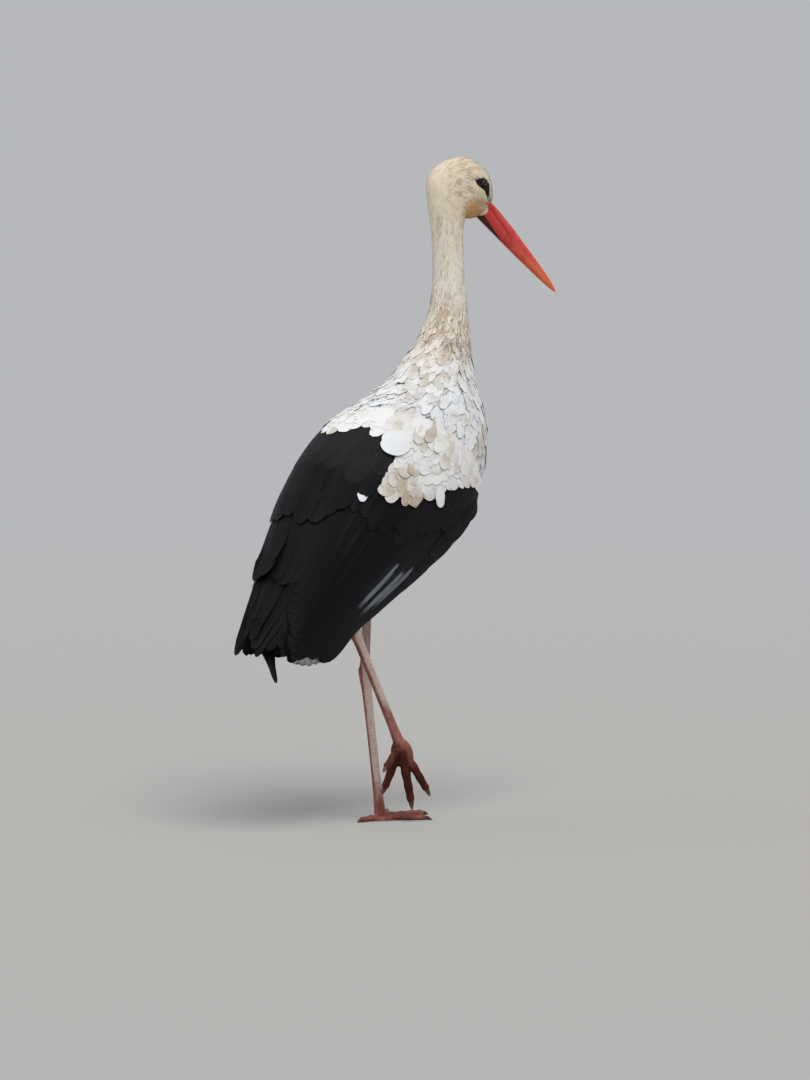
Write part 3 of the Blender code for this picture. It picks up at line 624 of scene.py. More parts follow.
def bird_skin():
    """Down under the coat, black or white as the feathers over it, and the bare black face."""
    paint = Paint("bird skin", Specular_IOR_Level=0.14)
    where = paint.place()
    fine = paint.noise(where, 420.0, 4.0, 0.65)
    wide = paint.noise(where, 30.0)
    bare, gape = paint.value("bare"), paint.value("gape")
    black = paint.mix(paint.step(fine, 0.35, 0.75), (0.005, 0.004, 0.005), (0.022, 0.016, 0.017))
    red = paint.mix(paint.step(fine, 0.3, 0.7), (0.44, 0.05, 0.045), (0.58, 0.12, 0.10))
    base = paint.layers(
        paint.mix(paint.step(wide, 0.3, 0.7), (0.74, 0.70, 0.63), (0.60, 0.54, 0.46)),
        (paint.value("cream"), (0.78, 0.66, 0.47)),
        (paint.value("dark"), (0.014, 0.013, 0.015)),
        (bare, black), (gape, red))
    rough = paint.step(bare + gape, 0.0, 1.0, 0.9, 0.5)
    relief = fine * 0.7 + paint.step(paint.cracks(900.0), 0.0, 0.18) * (bare + gape) * 0.8
    return paint.done(Base_Color=base, Roughness=rough, Normal=paint.bump(relief, 0.0004, 0.7))


def leg_skin():
    """Scaly red legs with a bloom of dust that is partly painted light, and painted shade: small
    plates on the shank, bands over the toes.
    """
    paint = Paint("leg skin", Specular_IOR_Level=0.16)
    plate_size, stretch = 330.0, (1.0, 1.0, 0.62)
    plates = paint.cracks(plate_size, stretch)
    tint = paint.node("TexVoronoi", None, {"Vector": paint.place(stretch), "Scale": plate_size}, 1)
    tint = paint.node("SeparateColor", None, {0: tint})
    fine = paint.noise(paint.place(), 700.0)
    wide = paint.noise(paint.place((1, 1, 0.35)), 60.0, 4.0, 0.6)
    band_length = 2.7
    bands = paint.math("FRACT", paint.value("reach") / band_length)
    groove = paint.math("MINIMUM", paint.step(bands, 0.0, 0.16),
                        paint.step(bands, 0.84, 1.0, 1.0, 0.0))
    toe = paint.value("toe")
    relief = paint.step(plates, 0.0, 0.16) * (1.0 - toe) \
        + paint.math("MINIMUM", groove, paint.step(plates, 0.0, 0.10)) * toe
    dust_and_light = paint.value("dust_and_painted_light") + (wide - 0.5) * 0.5 + (tint - 0.5) * 0.15
    base = paint.layers(
        paint.mix(paint.step(wide + (tint - 0.5) * 0.25, 0.30, 0.75), (0.27, 0.075, 0.060),
                  (0.42, 0.19, 0.145)),
        # Pale dust, partly painted light on the front of the shanks.
        (paint.step(dust_and_light, 0.10, 0.95), (0.60, 0.49, 0.43)),
        ((1.0 - relief) * 0.40, (0.13, 0.045, 0.035)),
        # Painted shade: the rear edges, the raised foot, and the standing leg near the ground.
        (paint.value("deep"),
         paint.mix(paint.step(wide, 0.3, 0.7), (0.032, 0.006, 0.002), (0.090, 0.017, 0.008))))
    rough = paint.step(relief + (fine - 0.5) * 0.4, 0.0, 1.0, 0.72, 0.50)
    return paint.done(Base_Color=base, Roughness=rough,
                      Normal=paint.bump(relief + fine * 0.25, 0.00045, 0.9))


def bill_horn():
    """Red horn: orange to the tip, with painted shade under the base, and pale along the ridge
    and the gape, from wear and a painted highlight.
    """
    paint = Paint("bill horn", Specular_IOR_Level=0.38)
    reach, rise, keel = (paint.value(name) for name in ("reach", "rise", "keel"))
    grain = paint.noise(paint.spot(reach * 1.6, rise * 34.0), 1.0, 4.0, 0.6)
    blot = paint.noise(paint.place(), 55.0)
    low = paint.step(rise, -0.35, 0.15, 1.0, 0.0) * 0.12
    base = paint.layers(
        paint.mix(paint.step(grain + (blot - 0.5) * 0.6, 0.25, 0.8), (0.46, 0.020, 0.019),
                  (0.68, 0.085, 0.064)),
        (paint.step(reach + low + (blot - 0.5) * 0.25, 0.45, 1.05), (0.74, 0.150, 0.040)),
        # Painted shade on the underside of the base.
        (paint.step(keel + (grain - 0.5) * 0.35, 0.2, 0.8), (0.055, 0.006, 0.006)),
        (paint.value("groove") * 0.55, (0.27, 0.014, 0.022)),
        # Pale ridge and gape edge: wear and a painted highlight.
        (paint.value("pale") * paint.step(grain, 0.25, 0.6) * 0.7, (0.80, 0.42, 0.34)),
        (paint.value("line"), (0.20, 0.014, 0.014)))
    rough = paint.step(grain, 0.2, 0.8, 0.20, 0.40) + keel * 0.25
    return paint.done(Base_Color=base, Roughness=rough,
                      Normal=paint.bump(grain + blot * 0.6, 0.00030, 0.5))


def eye_wet():
    paint = Paint("eye", Roughness=0.06, Coat_Weight=0.6, Coat_Roughness=0.02,
                  Specular_IOR_Level=0.2)
    ring = paint.value("ring")
    rays = paint.noise(paint.place(), 900.0, 2.0)
    return paint.done(Base_Color=paint.layers(
        (0.0015, 0.0015, 0.0015),
        (paint.step(ring + (rays - 0.5) * 0.05, 0.34, 0.40),
         paint.mix(rays, (0.008, 0.004, 0.003), (0.022, 0.011, 0.007))),
        (paint.step(ring, 0.62, 0.76), (0.006, 0.005, 0.005))))


def claw_horn():
    paint = Paint("claw horn", Specular_IOR_Level=0.35)
    grain = paint.noise(paint.place(), 500.0)
    base = paint.mix(paint.step(paint.value("reach") + (grain - 0.5) * 0.5, 0.2, 1.0),
                     (0.050, 0.020, 0.013), (0.115, 0.065, 0.045))
    return paint.done(Base_Color=base, Roughness=paint.step(grain, 0.2, 0.8, 0.38, 0.60),
                      Normal=paint.bump(grain, 0.0002, 0.5))


# ---- feathers

SHAFT_STEPS = (-1.0, -0.985, -0.94, -0.84, -0.66, -0.36, -0.05, 0.0,
               0.05, 0.36, 0.66, 0.84, 0.94, 0.985, 1.0)
PATCH = 0.003           # how large one vane is on the unwrap of the skin


class Coat:
    """One piece of the coat: many vanes joined in one mesh."""

    def __init__(self, name, seed):
        self.name = name
        self.rng = np.random.default_rng(seed)
        self.points, self.quads, self.vane, self.patch = [], [], [], []
        # depth among these is painted shade, darker toward the root of each vane.
        self.values = {key: [] for key in ("tone", "cream", "warm", "grey", "depth", "bloom",
                                           "luck")}
        self.count = 0

    def add(self, points, normals, vane, root, values, thick):
        """Takes vanes as arrays of (vane, row, column). Thick ones get a second face and a rim."""
        number, rows, cols = points.shape[:3]
        x = np.linspace(-1, 1, cols)[None, None, :]
        t = np.linspace(0, 1, rows)[None, :, None]
        patch = np.stack(np.broadcast_arrays(root[0][:, None, None] + x * PATCH / 2,
                                             root[1][:, None, None] + (t - 0.5) * PATCH), -1)
        quads = grid_quads(rows - 1, cols - 1)
        size = rows * cols
        layers = [points]
        if thick:
            layers.append(points - normals * thick)
            order = np.arange(size).reshape(rows, cols)
            rim = np.concatenate([order[:, 0], order[-1, 1:], order[-2::-1, -1], order[0, -2:0:-1]])
            after = np.roll(rim, -1)
            edge = np.stack([rim, rim + size, after + size, after], -1)
            quads = np.concatenate([quads, quads[:, ::-1] + size, edge])
        many = len(layers)

        def doubled(array, width):
            flat = np.broadcast_to(array, (number, rows, cols, width))
            return np.repeat(flat.reshape(number, 1, size, width), many, 1).reshape(-1, width)

        shift = self.count + np.arange(number)[:, None, None] * many * size
        self.quads.append((quads[None] + shift).reshape(-1, 4))
        self.points.append(np.stack(layers, 1).reshape(-1, 3))
        self.vane.append(doubled(vane, 2))
        self.patch.append(doubled(patch, 2))
        for key, store in self.values.items():
            value = np.asarray(values.get(key, 0.0), float)
            while value.ndim < 4:
                value = value[..., None]
            store.append(doubled(value, 1).ravel())
        self.count += number * many * size

    def finish(self, material, slot, *nodes):
        points, quads, patch, vane = (np.concatenate(store) for store in (
            self.points, self.quads, self.patch, self.vane))
        values = {key: np.concatenate(store) for key, store in self.values.items()}
        add_piece(self.name, points, quads, values, (material,), slot, nodes,
                  {"OFBake": patch, "Vane": vane})


def lay(coat, surface, tip_u, tip_v, length, half, rows, columns, depth, values, rise=0.0,
        camber=0.6, bow=1.3, point=0.4, root_width=0.6, yaw=0.0, roll=0.0, ridge=0.0,
        ragged=0.05, lower=0.0, thick=0.0, skew=0.0, droop=0.0, flat=0):
    """Lays vanes on a surface, each given by where its tip is. Lengths and heights are in mm.

    depth is how far the root lies under the surface, rise how far the tip stands over it,
    bow rounds the end (1 is half a circle, more is longer), roll lifts the side toward
    higher v, lower sinks the whole vane, droop its end, skew makes it wider toward lower v,
    and ragged parts its end. A flat vane keeps its own plane and doesn't wrap round the
    surface: 1 follows its length, 2 is straight.
    """
    rng = coat.rng
    n = len(tip_u)
    tip_u, tip_v, length, half, depth, rise, yaw, roll, lower, point, bow, droop, camber = (
        np.broadcast_to(np.asarray(q, float), n)[:, None, None] for q in (
            tip_u, tip_v, length, half, depth, rise, yaw, roll, lower, point, bow, droop, camber))
    if columns is None:
        steps = np.array(SHAFT_STEPS)
    else:
        steps = np.sin(np.linspace(-np.pi / 2, np.pi / 2, columns + 1))
    x = steps[None, None, :]
    t = np.linspace(0, 1, rows + 1)[None, :, None]
    way, side = np.cos(yaw), np.sin(yaw)
    rate_u = surface.read(surface.rate_u, tip_u, tip_v)
    root_u = tip_u - length * way / rate_u
    rate_v = surface.read(surface.rate_v, (tip_u + root_u) / 2, tip_v)
    root_v = tip_v - length * side / rate_v
    rates = surface.read(surface.rate_v, root_u + (tip_u - root_u) * t,
                         np.broadcast_to(tip_v, (n, rows + 1, 1)))
    width = (half * (root_width + (1 - root_width) * ease(t / 0.5))
             * (1 - point * ease((t - 0.5) / 0.5)))
    wobble = 1 + 0.07 * np.sin(t * rng.uniform(5, 11, (n, 1, 1)) + rng.uniform(0, 6.3, (n, 1, 1)))
    along = length * t - bow * half * (1 - np.sqrt(np.maximum(1 - np.abs(x) ** 2.3, 0.0))) * t ** 3
    along = along + length * ragged * rng.uniform(-1, 1, (n, 1, x.size)) * ease((t - 0.55) / 0.45)
    aside = x * width * wobble * (1 - skew * x)
    height = (-depth * (0.14 * (1 - t) + 0.86 * (1 - t) ** 3.6) + rise * t * t
              - camber * x * x * (0.3 + 0.7 * t)
              + roll * x * (0.35 + 0.65 * t) - lower - droop * t ** 4
              + ridge * hump(x, 0, 0.04) * (1 - 0.75 * t))
    height = height + rng.uniform(-0.16, 0.16, (n, 1, 1)) * np.minimum(1.0, half / 6)
    if flat:
        middle = height[:, :, x.size // 2][..., None]
        line = surface.place(root_u + length * t * way / rate_u,
                             root_v + length * t * side / rate_v, middle)
        taut = line[:, :1] + (line[:, -1:] - line[:, :1]) * t[..., None]
        line = line + (taut - line) * (flat - 1.0)
        mid_u = root_u + 0.45 * (tip_u - root_u)
        face = unit(surface.read(surface.normal, mid_u, tip_v))
        way_on = unit(line[:, -1:] - line[:, :1])
        across = unit(np.cross(face, way_on))
        ahead = (surface.place(mid_u, tip_v + 0.02, 0 * mid_u)
                 - surface.place(mid_u, tip_v - 0.02, 0 * mid_u))
        across = across * np.sign((across * ahead).sum(-1, keepdims=True))
        face = unit(face - way_on * (face * way_on).sum(-1, keepdims=True))
        points = (line + across * aside[..., None] + way_on * (along - length * t)[..., None]
                  + face * (height - middle)[..., None])
        normals = np.broadcast_to(face, points.shape)
    else:
        u = root_u + (along * way - aside * side) / rate_u
        v = root_v + along * side / rate_v + aside * way / np.maximum(rates, 0.35 * rate_v)
        points = surface.place(u, v, height)
        normals = unit(surface.read(surface.normal, u, v))
    finer = np.clip(7.0 / half, 1.0, 3.0) / 100.0
    vane = np.stack(np.broadcast_arrays(aside * finer, along * finer), -1)
    start_u, start_v = root_u[:, 0, 0], root_v[:, 0, 0]
    u_share = (start_u - surface.u0) / (surface.u1 - surface.u0)
    v_share = start_v - np.floor(start_v) if surface.closed else (
        (start_v - surface.v0) / (surface.v1 - surface.v0))
    root = (0.01 + 0.98 * np.clip(v_share, 0, 1), 0.01 + 0.98 * np.clip(u_share, 0, 1))
    # depth is painted shade, darker toward the root of each vane.
    given = {"luck": rng.random(n), "depth": (1 - t) ** 2.5 * np.ones_like(x)}
    shape = points.shape[:3]
    for key, value in values.items():
        given[key] = value(points, np.broadcast_to(t, shape), np.broadcast_to(x, shape)) \
            if callable(value) else value
    coat.add(points, normals, vane, root, given, thick)


def row_places(surface, u_of, v_low, v_high, gap, shift):
    """Places a gap apart along a row. u_of gives the row's line as a function of v."""
    samples = 240
    v = np.linspace(v_low, v_high, samples)
    line = surface.read(surface.grid, u_of(v), v)
    run = np.concatenate([[0], np.cumsum(np.linalg.norm(np.diff(line, axis=0), axis=1))])
    count = max(int(run[-1] / gap), 1)
    return np.interp((np.arange(count) + shift) / count * run[-1], run, v)


def stagger(row):
    """Where the first place of a row is: every other row starts half a gap on."""
    return 0.25 + 0.5 * (row % 2)


def cover(surface, u_low, u_high, row_gap, column_gap, rng, v_low=0.0, v_high=1.0):
    """Staggered places all over part of a surface."""
    loose = 0.25
    found_u, found_v = [], []
    u, row = u_low, 0
    while u < u_high:
        v = row_places(surface, lambda q: np.full_like(q, u), v_low, v_high, column_gap(u),
                       stagger(row))
        rate_u, rate_v = (surface.read(rate, np.full_like(v, u), v)
                          for rate in (surface.rate_u, surface.rate_v))
        keep = rng.random(len(v)) < 1.15 * rate_u / rate_u.max()
        found_u.append((u + rng.normal(0, loose * row_gap(u), len(v)) / rate_u)[keep])
        found_v.append((v + rng.normal(0, loose * column_gap(u), len(v)) / rate_v)[keep])
        u += row_gap(u) / rate_u.max()
        row += 1
    return np.concatenate(found_u), np.concatenate(found_v)


def by_name(*pairs):
    return Curve([(MARK[name], value) for name, value in pairs])


COAT_DEPTH = by_name(("bill root", 0.6), ("eye front", 0.8), ("crown", 1.2), ("nape", 1.5),
                     ("neck top", 1.8), ("mid neck", 2.3), ("low neck", 3.4), ("neck root", 4.8),
                     ("shoulder top", 7.0), ("breast", 7.5), ("flank", 7.5), ("tail root", 5.0))
VANE_LENGTH = by_name(("bill root", 3.2), ("lores", 3.8), ("eye front", 4.6), ("forehead", 6.0),
                      ("crown", 8.5), ("back of head", 11.0), ("nape", 13.5), ("neck top", 17.0),
                      ("mid neck", 21.0), ("low neck", 25.0), ("neck flare", 29.0),
                      ("neck root", 34.0), ("crop", 40.0), ("shoulder top", 45.0), ("back", 45.0))
VANE_HALF = by_name(("bill root", 0.6), ("eye front", 0.75), ("crown", 1.1), ("nape", 1.45),
                    ("neck top", 1.8), ("mid neck", 2.2), ("low neck", 3.0), ("neck flare", 4.6),
                    ("neck root", 7.2), ("crop", 10.5), ("shoulder top", 14.0), ("back", 14.5))


# ---- markings

# Chains of round spots on the side of the head: forward, height, radius.
EYE_PATCH = ((33.5, 1013.8, 0.8), (42.0, 1010.2, 6.2), (49.5, 1007.8, 9.4), (55.2, 1004.5, 7.4),
             (57.8, 996.0, 5.4), (59.6, 990.0, 3.6))
LORE = ((59.0, 991.5, 3.8), (61.5, 984.5, 4.0), (65.0, 979.0, 3.2))
GAPE_NOTCH = ((69.0, 974.0, 4.2), (62.0, 975.2, 2.2), (55.0, 978.8, 1.0), (46.0, 984.0, 0.4))


def chain_mask(forward, height, chain, soft):
    """1 inside a chain of round spots that taper from one to the next, 0 outside."""
    nearest = np.full(np.shape(forward), 1e9)
    for (f0, h0, r0), (f1, h1, r1) in zip(chain[:-1], chain[1:]):
        df, dh = f1 - f0, h1 - h0
        s = np.clip(((forward - f0) * df + (height - h0) * dh) / (df * df + dh * dh), 0, 1)
        reach = np.hypot(forward - f0 - s * df, height - h0 - s * dh) - (r0 + (r1 - r0) * s)
        nearest = np.minimum(nearest, reach)
    return between(-nearest, -soft, soft)


def bare_at(points, soft=0.7, lore=1.0):
    """Bare skin round the eye, and with a share of its own the greyer strip down to the bill."""
    forward, height, side = head_plane(points)
    inside = np.maximum(chain_mask(forward, height, EYE_PATCH, soft),
                        lore * chain_mask(forward, height, LORE, soft))
    return inside * between(np.abs(side), 5.0, 8.0) * between(height, 940, 950)


def gape_at(points, soft=0.6):
    forward, height, side = head_plane(points)
    return chain_mask(forward, height, GAPE_NOTCH, soft) * between(np.abs(side), 3.0, 6.0) \
        * between(height, 940, 950)


def spot_at(points, forward, height, radius):
    f, h, s = head_plane(points)
    return np.exp(-((f - forward) ** 2 + (h - height) ** 2) / radius ** 2)


def cream_at(points):
    """Cream of the head and neck, fading down to the white body."""
    height = points[..., 2]
    return 0.06 + 0.52 * between(height, 660, 780) + 0.25 * between(height, 850, 980)


def warm_at(points):
    """Yellow stain on the cheek and throat."""
    cheek = 0.85 * spot_at(points, 34, 958, 15) + 0.55 * spot_at(points, 38, 975, 22)
    return cheek * between(points[..., 2], 936, 950)


def crown_at(points):
    """Greyer feathers on the crown and behind the eye."""
    return 1.0 * spot_at(points, 30, 1032, 22) + 0.35 * spot_at(points, 16, 1000, 24) \
        + 0.45 * spot_at(points, 40, 982, 12)


def clumps(points, size, seed=0.0, lie=None):
    """Soft patches, about size across, as 0 to 1. They are drawn out into streaks along lie."""
    if lie is not None:
        points = points - 0.8 * (points @ lie)[..., None] * lie
    waves = 0.0
    for turn, part in ((0.0, 1.0), (1.9, 0.83), (4.1, 1.27), (5.3, 0.61), (2.9, 1.7)):
        way = np.array((math.cos(turn), math.sin(turn * 1.7), math.sin(turn + 1.1)))
        waves = waves + np.sin((points @ way) * (math.pi / (size * part)) + turn * 3 + seed)
    return between(waves, -0.5, 2.0)


# What vanes are painted with: each of these makes a function of their points, t along a vane
# and x across it, that draws its own numbers for each vane.

def scatter(rng, low, high, share, where=None):
    """A value that only some vanes get, each its own."""
    def value(points, t, x):
        chosen = rng.random((len(points), 1, 1))
        found = np.where(chosen < share, low + (high - low) * rng.random(chosen.shape), 0.0)
        found = found * np.ones_like(t)
        if where is None:
            return found
        return np.clip(found + where(points) * (0.6 + 0.8 * chosen), 0, 1)
    return value


def spread(rng, level, width, under, size, height, lie=None, where=None):
    """A value that differs a little from vane to vane, and rises by under behind the tips, as
    painted shade, and by height in patches of a size."""
    def value(points, t, x):
        middle = points.shape[2] // 2
        tips = points[:, -1:, middle:middle + 1]
        # under paints shade behind the tips, where the vanes over them lie.
        found = level + width * rng.normal(0, 1, (len(points), 1, 1)) + under * hump(t, 0.64, 0.16)
        found = found + height * clumps(tips, size, 0.0, lie) * (where(tips) if where else 1.0)
        return found * np.ones_like(t)
    return value


def wear_and_highlight(rng, level, width, brush, ahead=0.0):
    """A value that differs from vane to vane, and rises by brush at the tips and by ahead toward
    the shoulder, where ahead is a painted highlight."""
    def value(points, t, x):
        own = rng.normal(0, 1, (len(points), 1, 1))
        # Painted highlight: lighter toward the shoulder.
        lit = ahead * between(trunk_frame(points)[0], 235, 150) if ahead else 0.0
        return level + width * own + brush * between(t, 0.8, 1.0) + 0.06 * x + lit
    return value


def from_points(field):
    return lambda points, t, x: field(points)


# ---- head, neck and body

def lay_body(coat, start, end, rows, columns, dense, tone, grey, keep=None, bow=2.2, point=0.35,
             ragged=0.05):
    """Covers part of the head, neck and trunk between two marks."""
    rng, read = coat.rng, BODY_SURFACE.read
    u, v = cover(BODY_SURFACE, start, end, lambda q: VANE_LENGTH(q) * 0.30 / dense,
                 lambda q: VANE_HALF(q) * 1.15 / dense, rng)
    v = np.mod(v, 1.0)
    length = VANE_LENGTH(u) * rng.uniform(0.78, 1.25, len(u))
    tip = read(BODY_SURFACE.grid, u, v)
    rate = read(BODY_SURFACE.rate_u, u, v)
    root_u = u - length / rate
    root = read(BODY_SURFACE.grid, np.maximum(root_u, 0), v)
    clear = np.ones(len(u), bool)
    for mask in (bare_at, gape_at):
        for spot in (tip, root, (tip + root) / 2):
            clear &= mask(spot) < 0.5
    if keep is not None:
        clear &= keep(tip)
    # A vane that would start ahead of the bill's root is cut short.
    length = np.where(root_u < 0, np.maximum(length + root_u * rate, 1.5), length)
    u, v, length = u[clear], v[clear], length[clear]
    n = len(u)
    half = VANE_HALF(u) * rng.uniform(0.70, 1.30, n)
    ruffle = between(u, MARK["low neck"], MARK["crop"])
    rise = rng.uniform(-0.15, 0.15, n) * (1 + 2.5 * ruffle) + 1.3 * ruffle * (rng.random(n) < 0.10)
    lay(coat, BODY_SURFACE, u, v, length, half, rows, columns, COAT_DEPTH(u) * 0.95,
        {"tone": tone, "cream": from_points(cream_at), "warm": from_points(warm_at), "grey": grey},
        rise=rise, camber=0.07 * half, bow=bow, point=point, root_width=0.82, ragged=ragged,
        yaw=rng.normal(0, 0.06, n) * (1 + 2.6 * ruffle), roll=rng.normal(0, 0.04, n) * half)


def lay_lobes(coat):
    """The cheek feathers reach a little over the side of the bill's base."""
    for side in (-1, 1):
        def shape(u, v, inward=0.0):
            rise = -16.5 + 19.0 * v
            along = 4.8 - 0.050 * (rise + 5.5) ** 2 - u
            ridge, keel, half = (c(along) for c in BILL_CURVES)
            bulge = 0.9 * between(u, -0.5, 2.5) + 1.3 * between(u, 2.0, 8.0)
            out = half * np.sqrt(np.clip(1 - (rise / (keel + 0.8)) ** 2, 0.02, 1)) + bulge - inward
            return bill_point(along, rise, side * out)
        surface = Surface(shape, (0.0, 16.0), (0.0, 1.0), 33, 41, False)
        u, v = cover(surface, 2.0, 13.0, lambda q: 1.1, lambda q: 0.8, coat.rng, 0.02, 0.98)
        lay(coat, surface, u, v, 4.2, 0.65, 3, 2, 0.9,
            {"tone": 0.16, "cream": 0.85, "warm": from_points(warm_at)}, rise=0.1, camber=0.05,
            bow=2.0, point=0.35, yaw=coat.rng.normal(0, 0.1, len(u)), ragged=0.04)


def outside_wings(tip):
    """Leaves out what lies well under the folded wings."""
    along, out, side = trunk_frame(tip)
    deep = out > WING_CURVES[2](along) + 85
    return ~(deep & (((along > 100) & (out < 300)) | ((along > 84) & (np.abs(side) > 40))))


def build_head_and_neck(white):
    turn = math.radians(HEAD_TURN)
    forward = unit((-math.sin(turn), -math.cos(turn), -0.35))
    down = np.array((0.0, 0.0, 1.0))

    def streaky(points):
        return np.clip(1.1 * crown_at(points) + 1.2 * warm_at(points) + 0.22, 0, 1)

    def crown_streaks(points):
        return 0.30 * crown_at(points) * (0.3 + 0.7 * clumps(points, 2.4, 2.0, forward))

    # Grey-brown patches in the fold at the base of the neck: dirt, and painted shade of the fold.
    def nape_dirt_and_shade(points):
        return 0.95 * clumps(points, 15.0, 1.0) * between(points[..., 2], 640, 700) \
            * between(points[..., 2], 800, 750)

    def mantle_dirt(points):
        return 0.55 * clumps(points, 14.0, 4.0) * between(points[..., 2], 590, 660)

    head = Coat("coat_head", 11)
    rng = head.rng
    for start, end in ((1.2, MARK["crown"]), (MARK["crown"], MARK["throat"])):
        lay_body(head, start, end, 3, 2, 1.15,
                 spread(rng, 0.25, 0.14, 0.0, 2.2, 0.85, forward, streaky),
                 scatter(rng, 0.1, 0.4, 0.05, crown_streaks))
    lay_lobes(head)
    head.finish(white, "cream_plumage")

    neck = Coat("coat_neck", 12)
    rng = neck.rng
    lay_body(neck, MARK["throat"], MARK["low neck"], 4, 4, 1.15,
             spread(rng, 0.16, 0.13, 0.0, 4.5, 0.30, down), scatter(rng, 0.2, 0.6, 0.10),
             point=0.45)
    neck.finish(white, "cream_plumage")

    body = Coat("coat_body", 13)
    rng = body.rng
    # The third number of spread, 0.22, paints shade behind the tips.
    lay_body(body, MARK["low neck"], MARK["crop"], 6, 6, 1.15,
             spread(rng, 0.26, 0.12, 0.22, 17.0, 0.35), scatter(rng, 0.2, 0.6, 0.06, nape_dirt_and_shade),
             point=0.5, bow=2.4, ragged=0.06)
    lay_body(body, MARK["crop"], MARKS[-1] - 2, 6, 8, 1.0,
             spread(rng, 0.08, 0.08, 0.22, 21.0, 0.35), scatter(rng, 0.2, 0.5, 0.05, mantle_dirt),
             outside_wings, point=0.34, bow=1.7, ragged=0.040)
    body.finish(white, "white_plumage")


# ---- wings, tail and thighs

SCAPULAR_END = 0.35     # across the wing, where the scapulars end and the coverts take over

# Single feathers that stand out: a large round one over the black corner, one that hangs down
# over the black, and one under the tips of the scapulars. Distance toward the tail, place
# across, length, half width, bow, point, how far it is sunk, turn.
SINGLE_COVERTS = {
    "right": ((139, 0.318, 52, 23.5, 1.0, 0.06, -3.6, 0.42),
              (161, 0.672, 46, 9.0, 1.15, 0.05, -2.2, 0.80),
              (231, 0.314, 36, 11.5, 1.2, 0.25, 0.0, 0.40)),
    "left": ((140, 0.285, 50, 19.0, 1.0, 0.08, -2.6, 0.30),
             (158, 0.600, 42, 8.5, 1.3, 0.10, -1.6, 0.5))}

# Primaries: place across, distance toward the tail, half width, point, turn.
PRIMARIES = {
    "right": ((0.06, 494, 15, 0.3, 0), (0.13, 508, 16, 0.3, 0), (0.20, 519, 14, 0.5, 0),
              (0.27, 502, 16, 0.3, 0), (0.34, 490, 17, 0.25, 0), (0.41, 500, 16, 0.25, 0),
              (0.49, 502, 16, 0.25, 0), (0.745, 538, 13.5, 0.55, 0.62)),
    "left": ((0.02, 460, 12, 0.3, 0), (0.068, 523, 18, 0.85, 0), (0.15, 500, 14, 0.4, 0),
             (0.27, 492, 16, 0.3, 0), (0.36, 484, 17, 0.25, 0), (0.45, 476, 17, 0.25, 0),
             (0.55, 468, 16, 0.25, 0))}
GREATER_COVERT = {"rows": 24, "columns": None, "depth": 3.0, "camber": 0.5, "bow": 1.4,
                  "point": 0.25, "roll": 0.7, "ridge": 0.3, "ragged": 0.010, "thick": 0.4,
                  "skew": 0.15}
WING_ROUND = 270.0      # about how many mm a row of coverts runs from the back to the lower edge


def build_wing_white(side, suffix, white):
    """Mantle beside the shoulder and the white coverts of the folded wing."""
    surface = WING_SURFACES[suffix]
    coat = Coat("coat_wing_white_" + suffix, 20 + side)
    rng = coat.rng

    def edge(v):
        corner = between(v, 0.23, 0.26) if side < 0 else 0.0
        return np.where(v < SCAPULAR_END, SCAPULAR_FRONT(v) + 8 - 17 * corner, COVERT_TIPS(v))

    def front(v):
        return np.where(v < 0.16, 70.0, COVERT_FRONT(v) + 6)

    def stain(points, t, x):
        """Beige patches: lower corner of the coverts, and a little over the shoulder; and painted
        shade behind the tips of the vanes over.
        """
        along, out, s = trunk_frame(points)
        low_corner = between(along, 120, 175) * between(np.abs(s), 88, 100)
        own = rng.normal(0, 0.11, (len(points), 1, 1))
        # The last term paints shade behind the tips of the vanes over.
        return (0.04 + own + 0.50 * low_corner * between(out, 160, 80)
                + 0.40 * clumps(points[:, -1:, :1], 22.0) + 0.10 * hump(t, 0.66, 0.13))

    def dirt(points, t, x):
        chosen = rng.random((len(points), 1, 1))
        share = 0.30 - 0.22 * between(trunk_frame(points)[0], 80, 150)
        return np.where(chosen < share, 0.5 * chosen / share + 0.2, 0.0) * (1 - 0.8 * t)

    # Rows from the tips of the coverts toward the front, the feathers smaller in each.
    offset, row, last_row = 0.0, 0, 150
    while offset < last_row:
        size = between(offset, 0, 75)
        gap = 18.5 - 6.0 * size
        v = row_places(surface, lambda q: edge(q) - offset, -0.012, 1.0, gap, stagger(row))
        v = v + rng.normal(0, 0.12 * gap, len(v)) / WING_ROUND
        u = edge(v) - offset + rng.normal(0, 2.0 + 2.0 * size, len(v))
        u = u - 11.0 * hump(v, 0.60, 0.06) * (1 - size)
        keep = u > front(v)
        u, v = u[keep], v[keep]
        n = len(u)
        start = between(u - front(v), 0, 26)
        half = (14.5 - 4.0 * size) * rng.uniform(0.8, 1.2, n)
        length = np.minimum((54 - 16 * size) * rng.uniform(0.85, 1.15, n), 16 + u - front(v) + 10)
        lay(coat, surface, u, v, length, half, 8, 10, 6.5,
            {"tone": stain, "grey": dirt, "cream": 0.24},
            rise=rng.uniform(-0.2, 0.5, n) + 1.6 * size * (rng.random(n) < 0.15),
            camber=0.09 * half, bow=1.15, point=0.12, yaw=rng.normal(0, 0.09, n),
            roll=rng.normal(0, 0.06, n) * half,
            ragged=0.012, lower=5.0 * (1 - start) - 0.3)
        offset += 14.0 - 3.5 * size
        row += 1

    for u, v, length, half, bow, point, lower, yaw in SINGLE_COVERTS[suffix]:
        lay(coat, surface, [u], [v], length, half, 16, 16, 4.0, {"tone": 0.0}, rise=0.6, camber=1.4,
            bow=bow, point=point, yaw=yaw, ragged=0.006, lower=lower)
    coat.finish(white, "white_plumage", "shoulder_coverts_" + suffix)


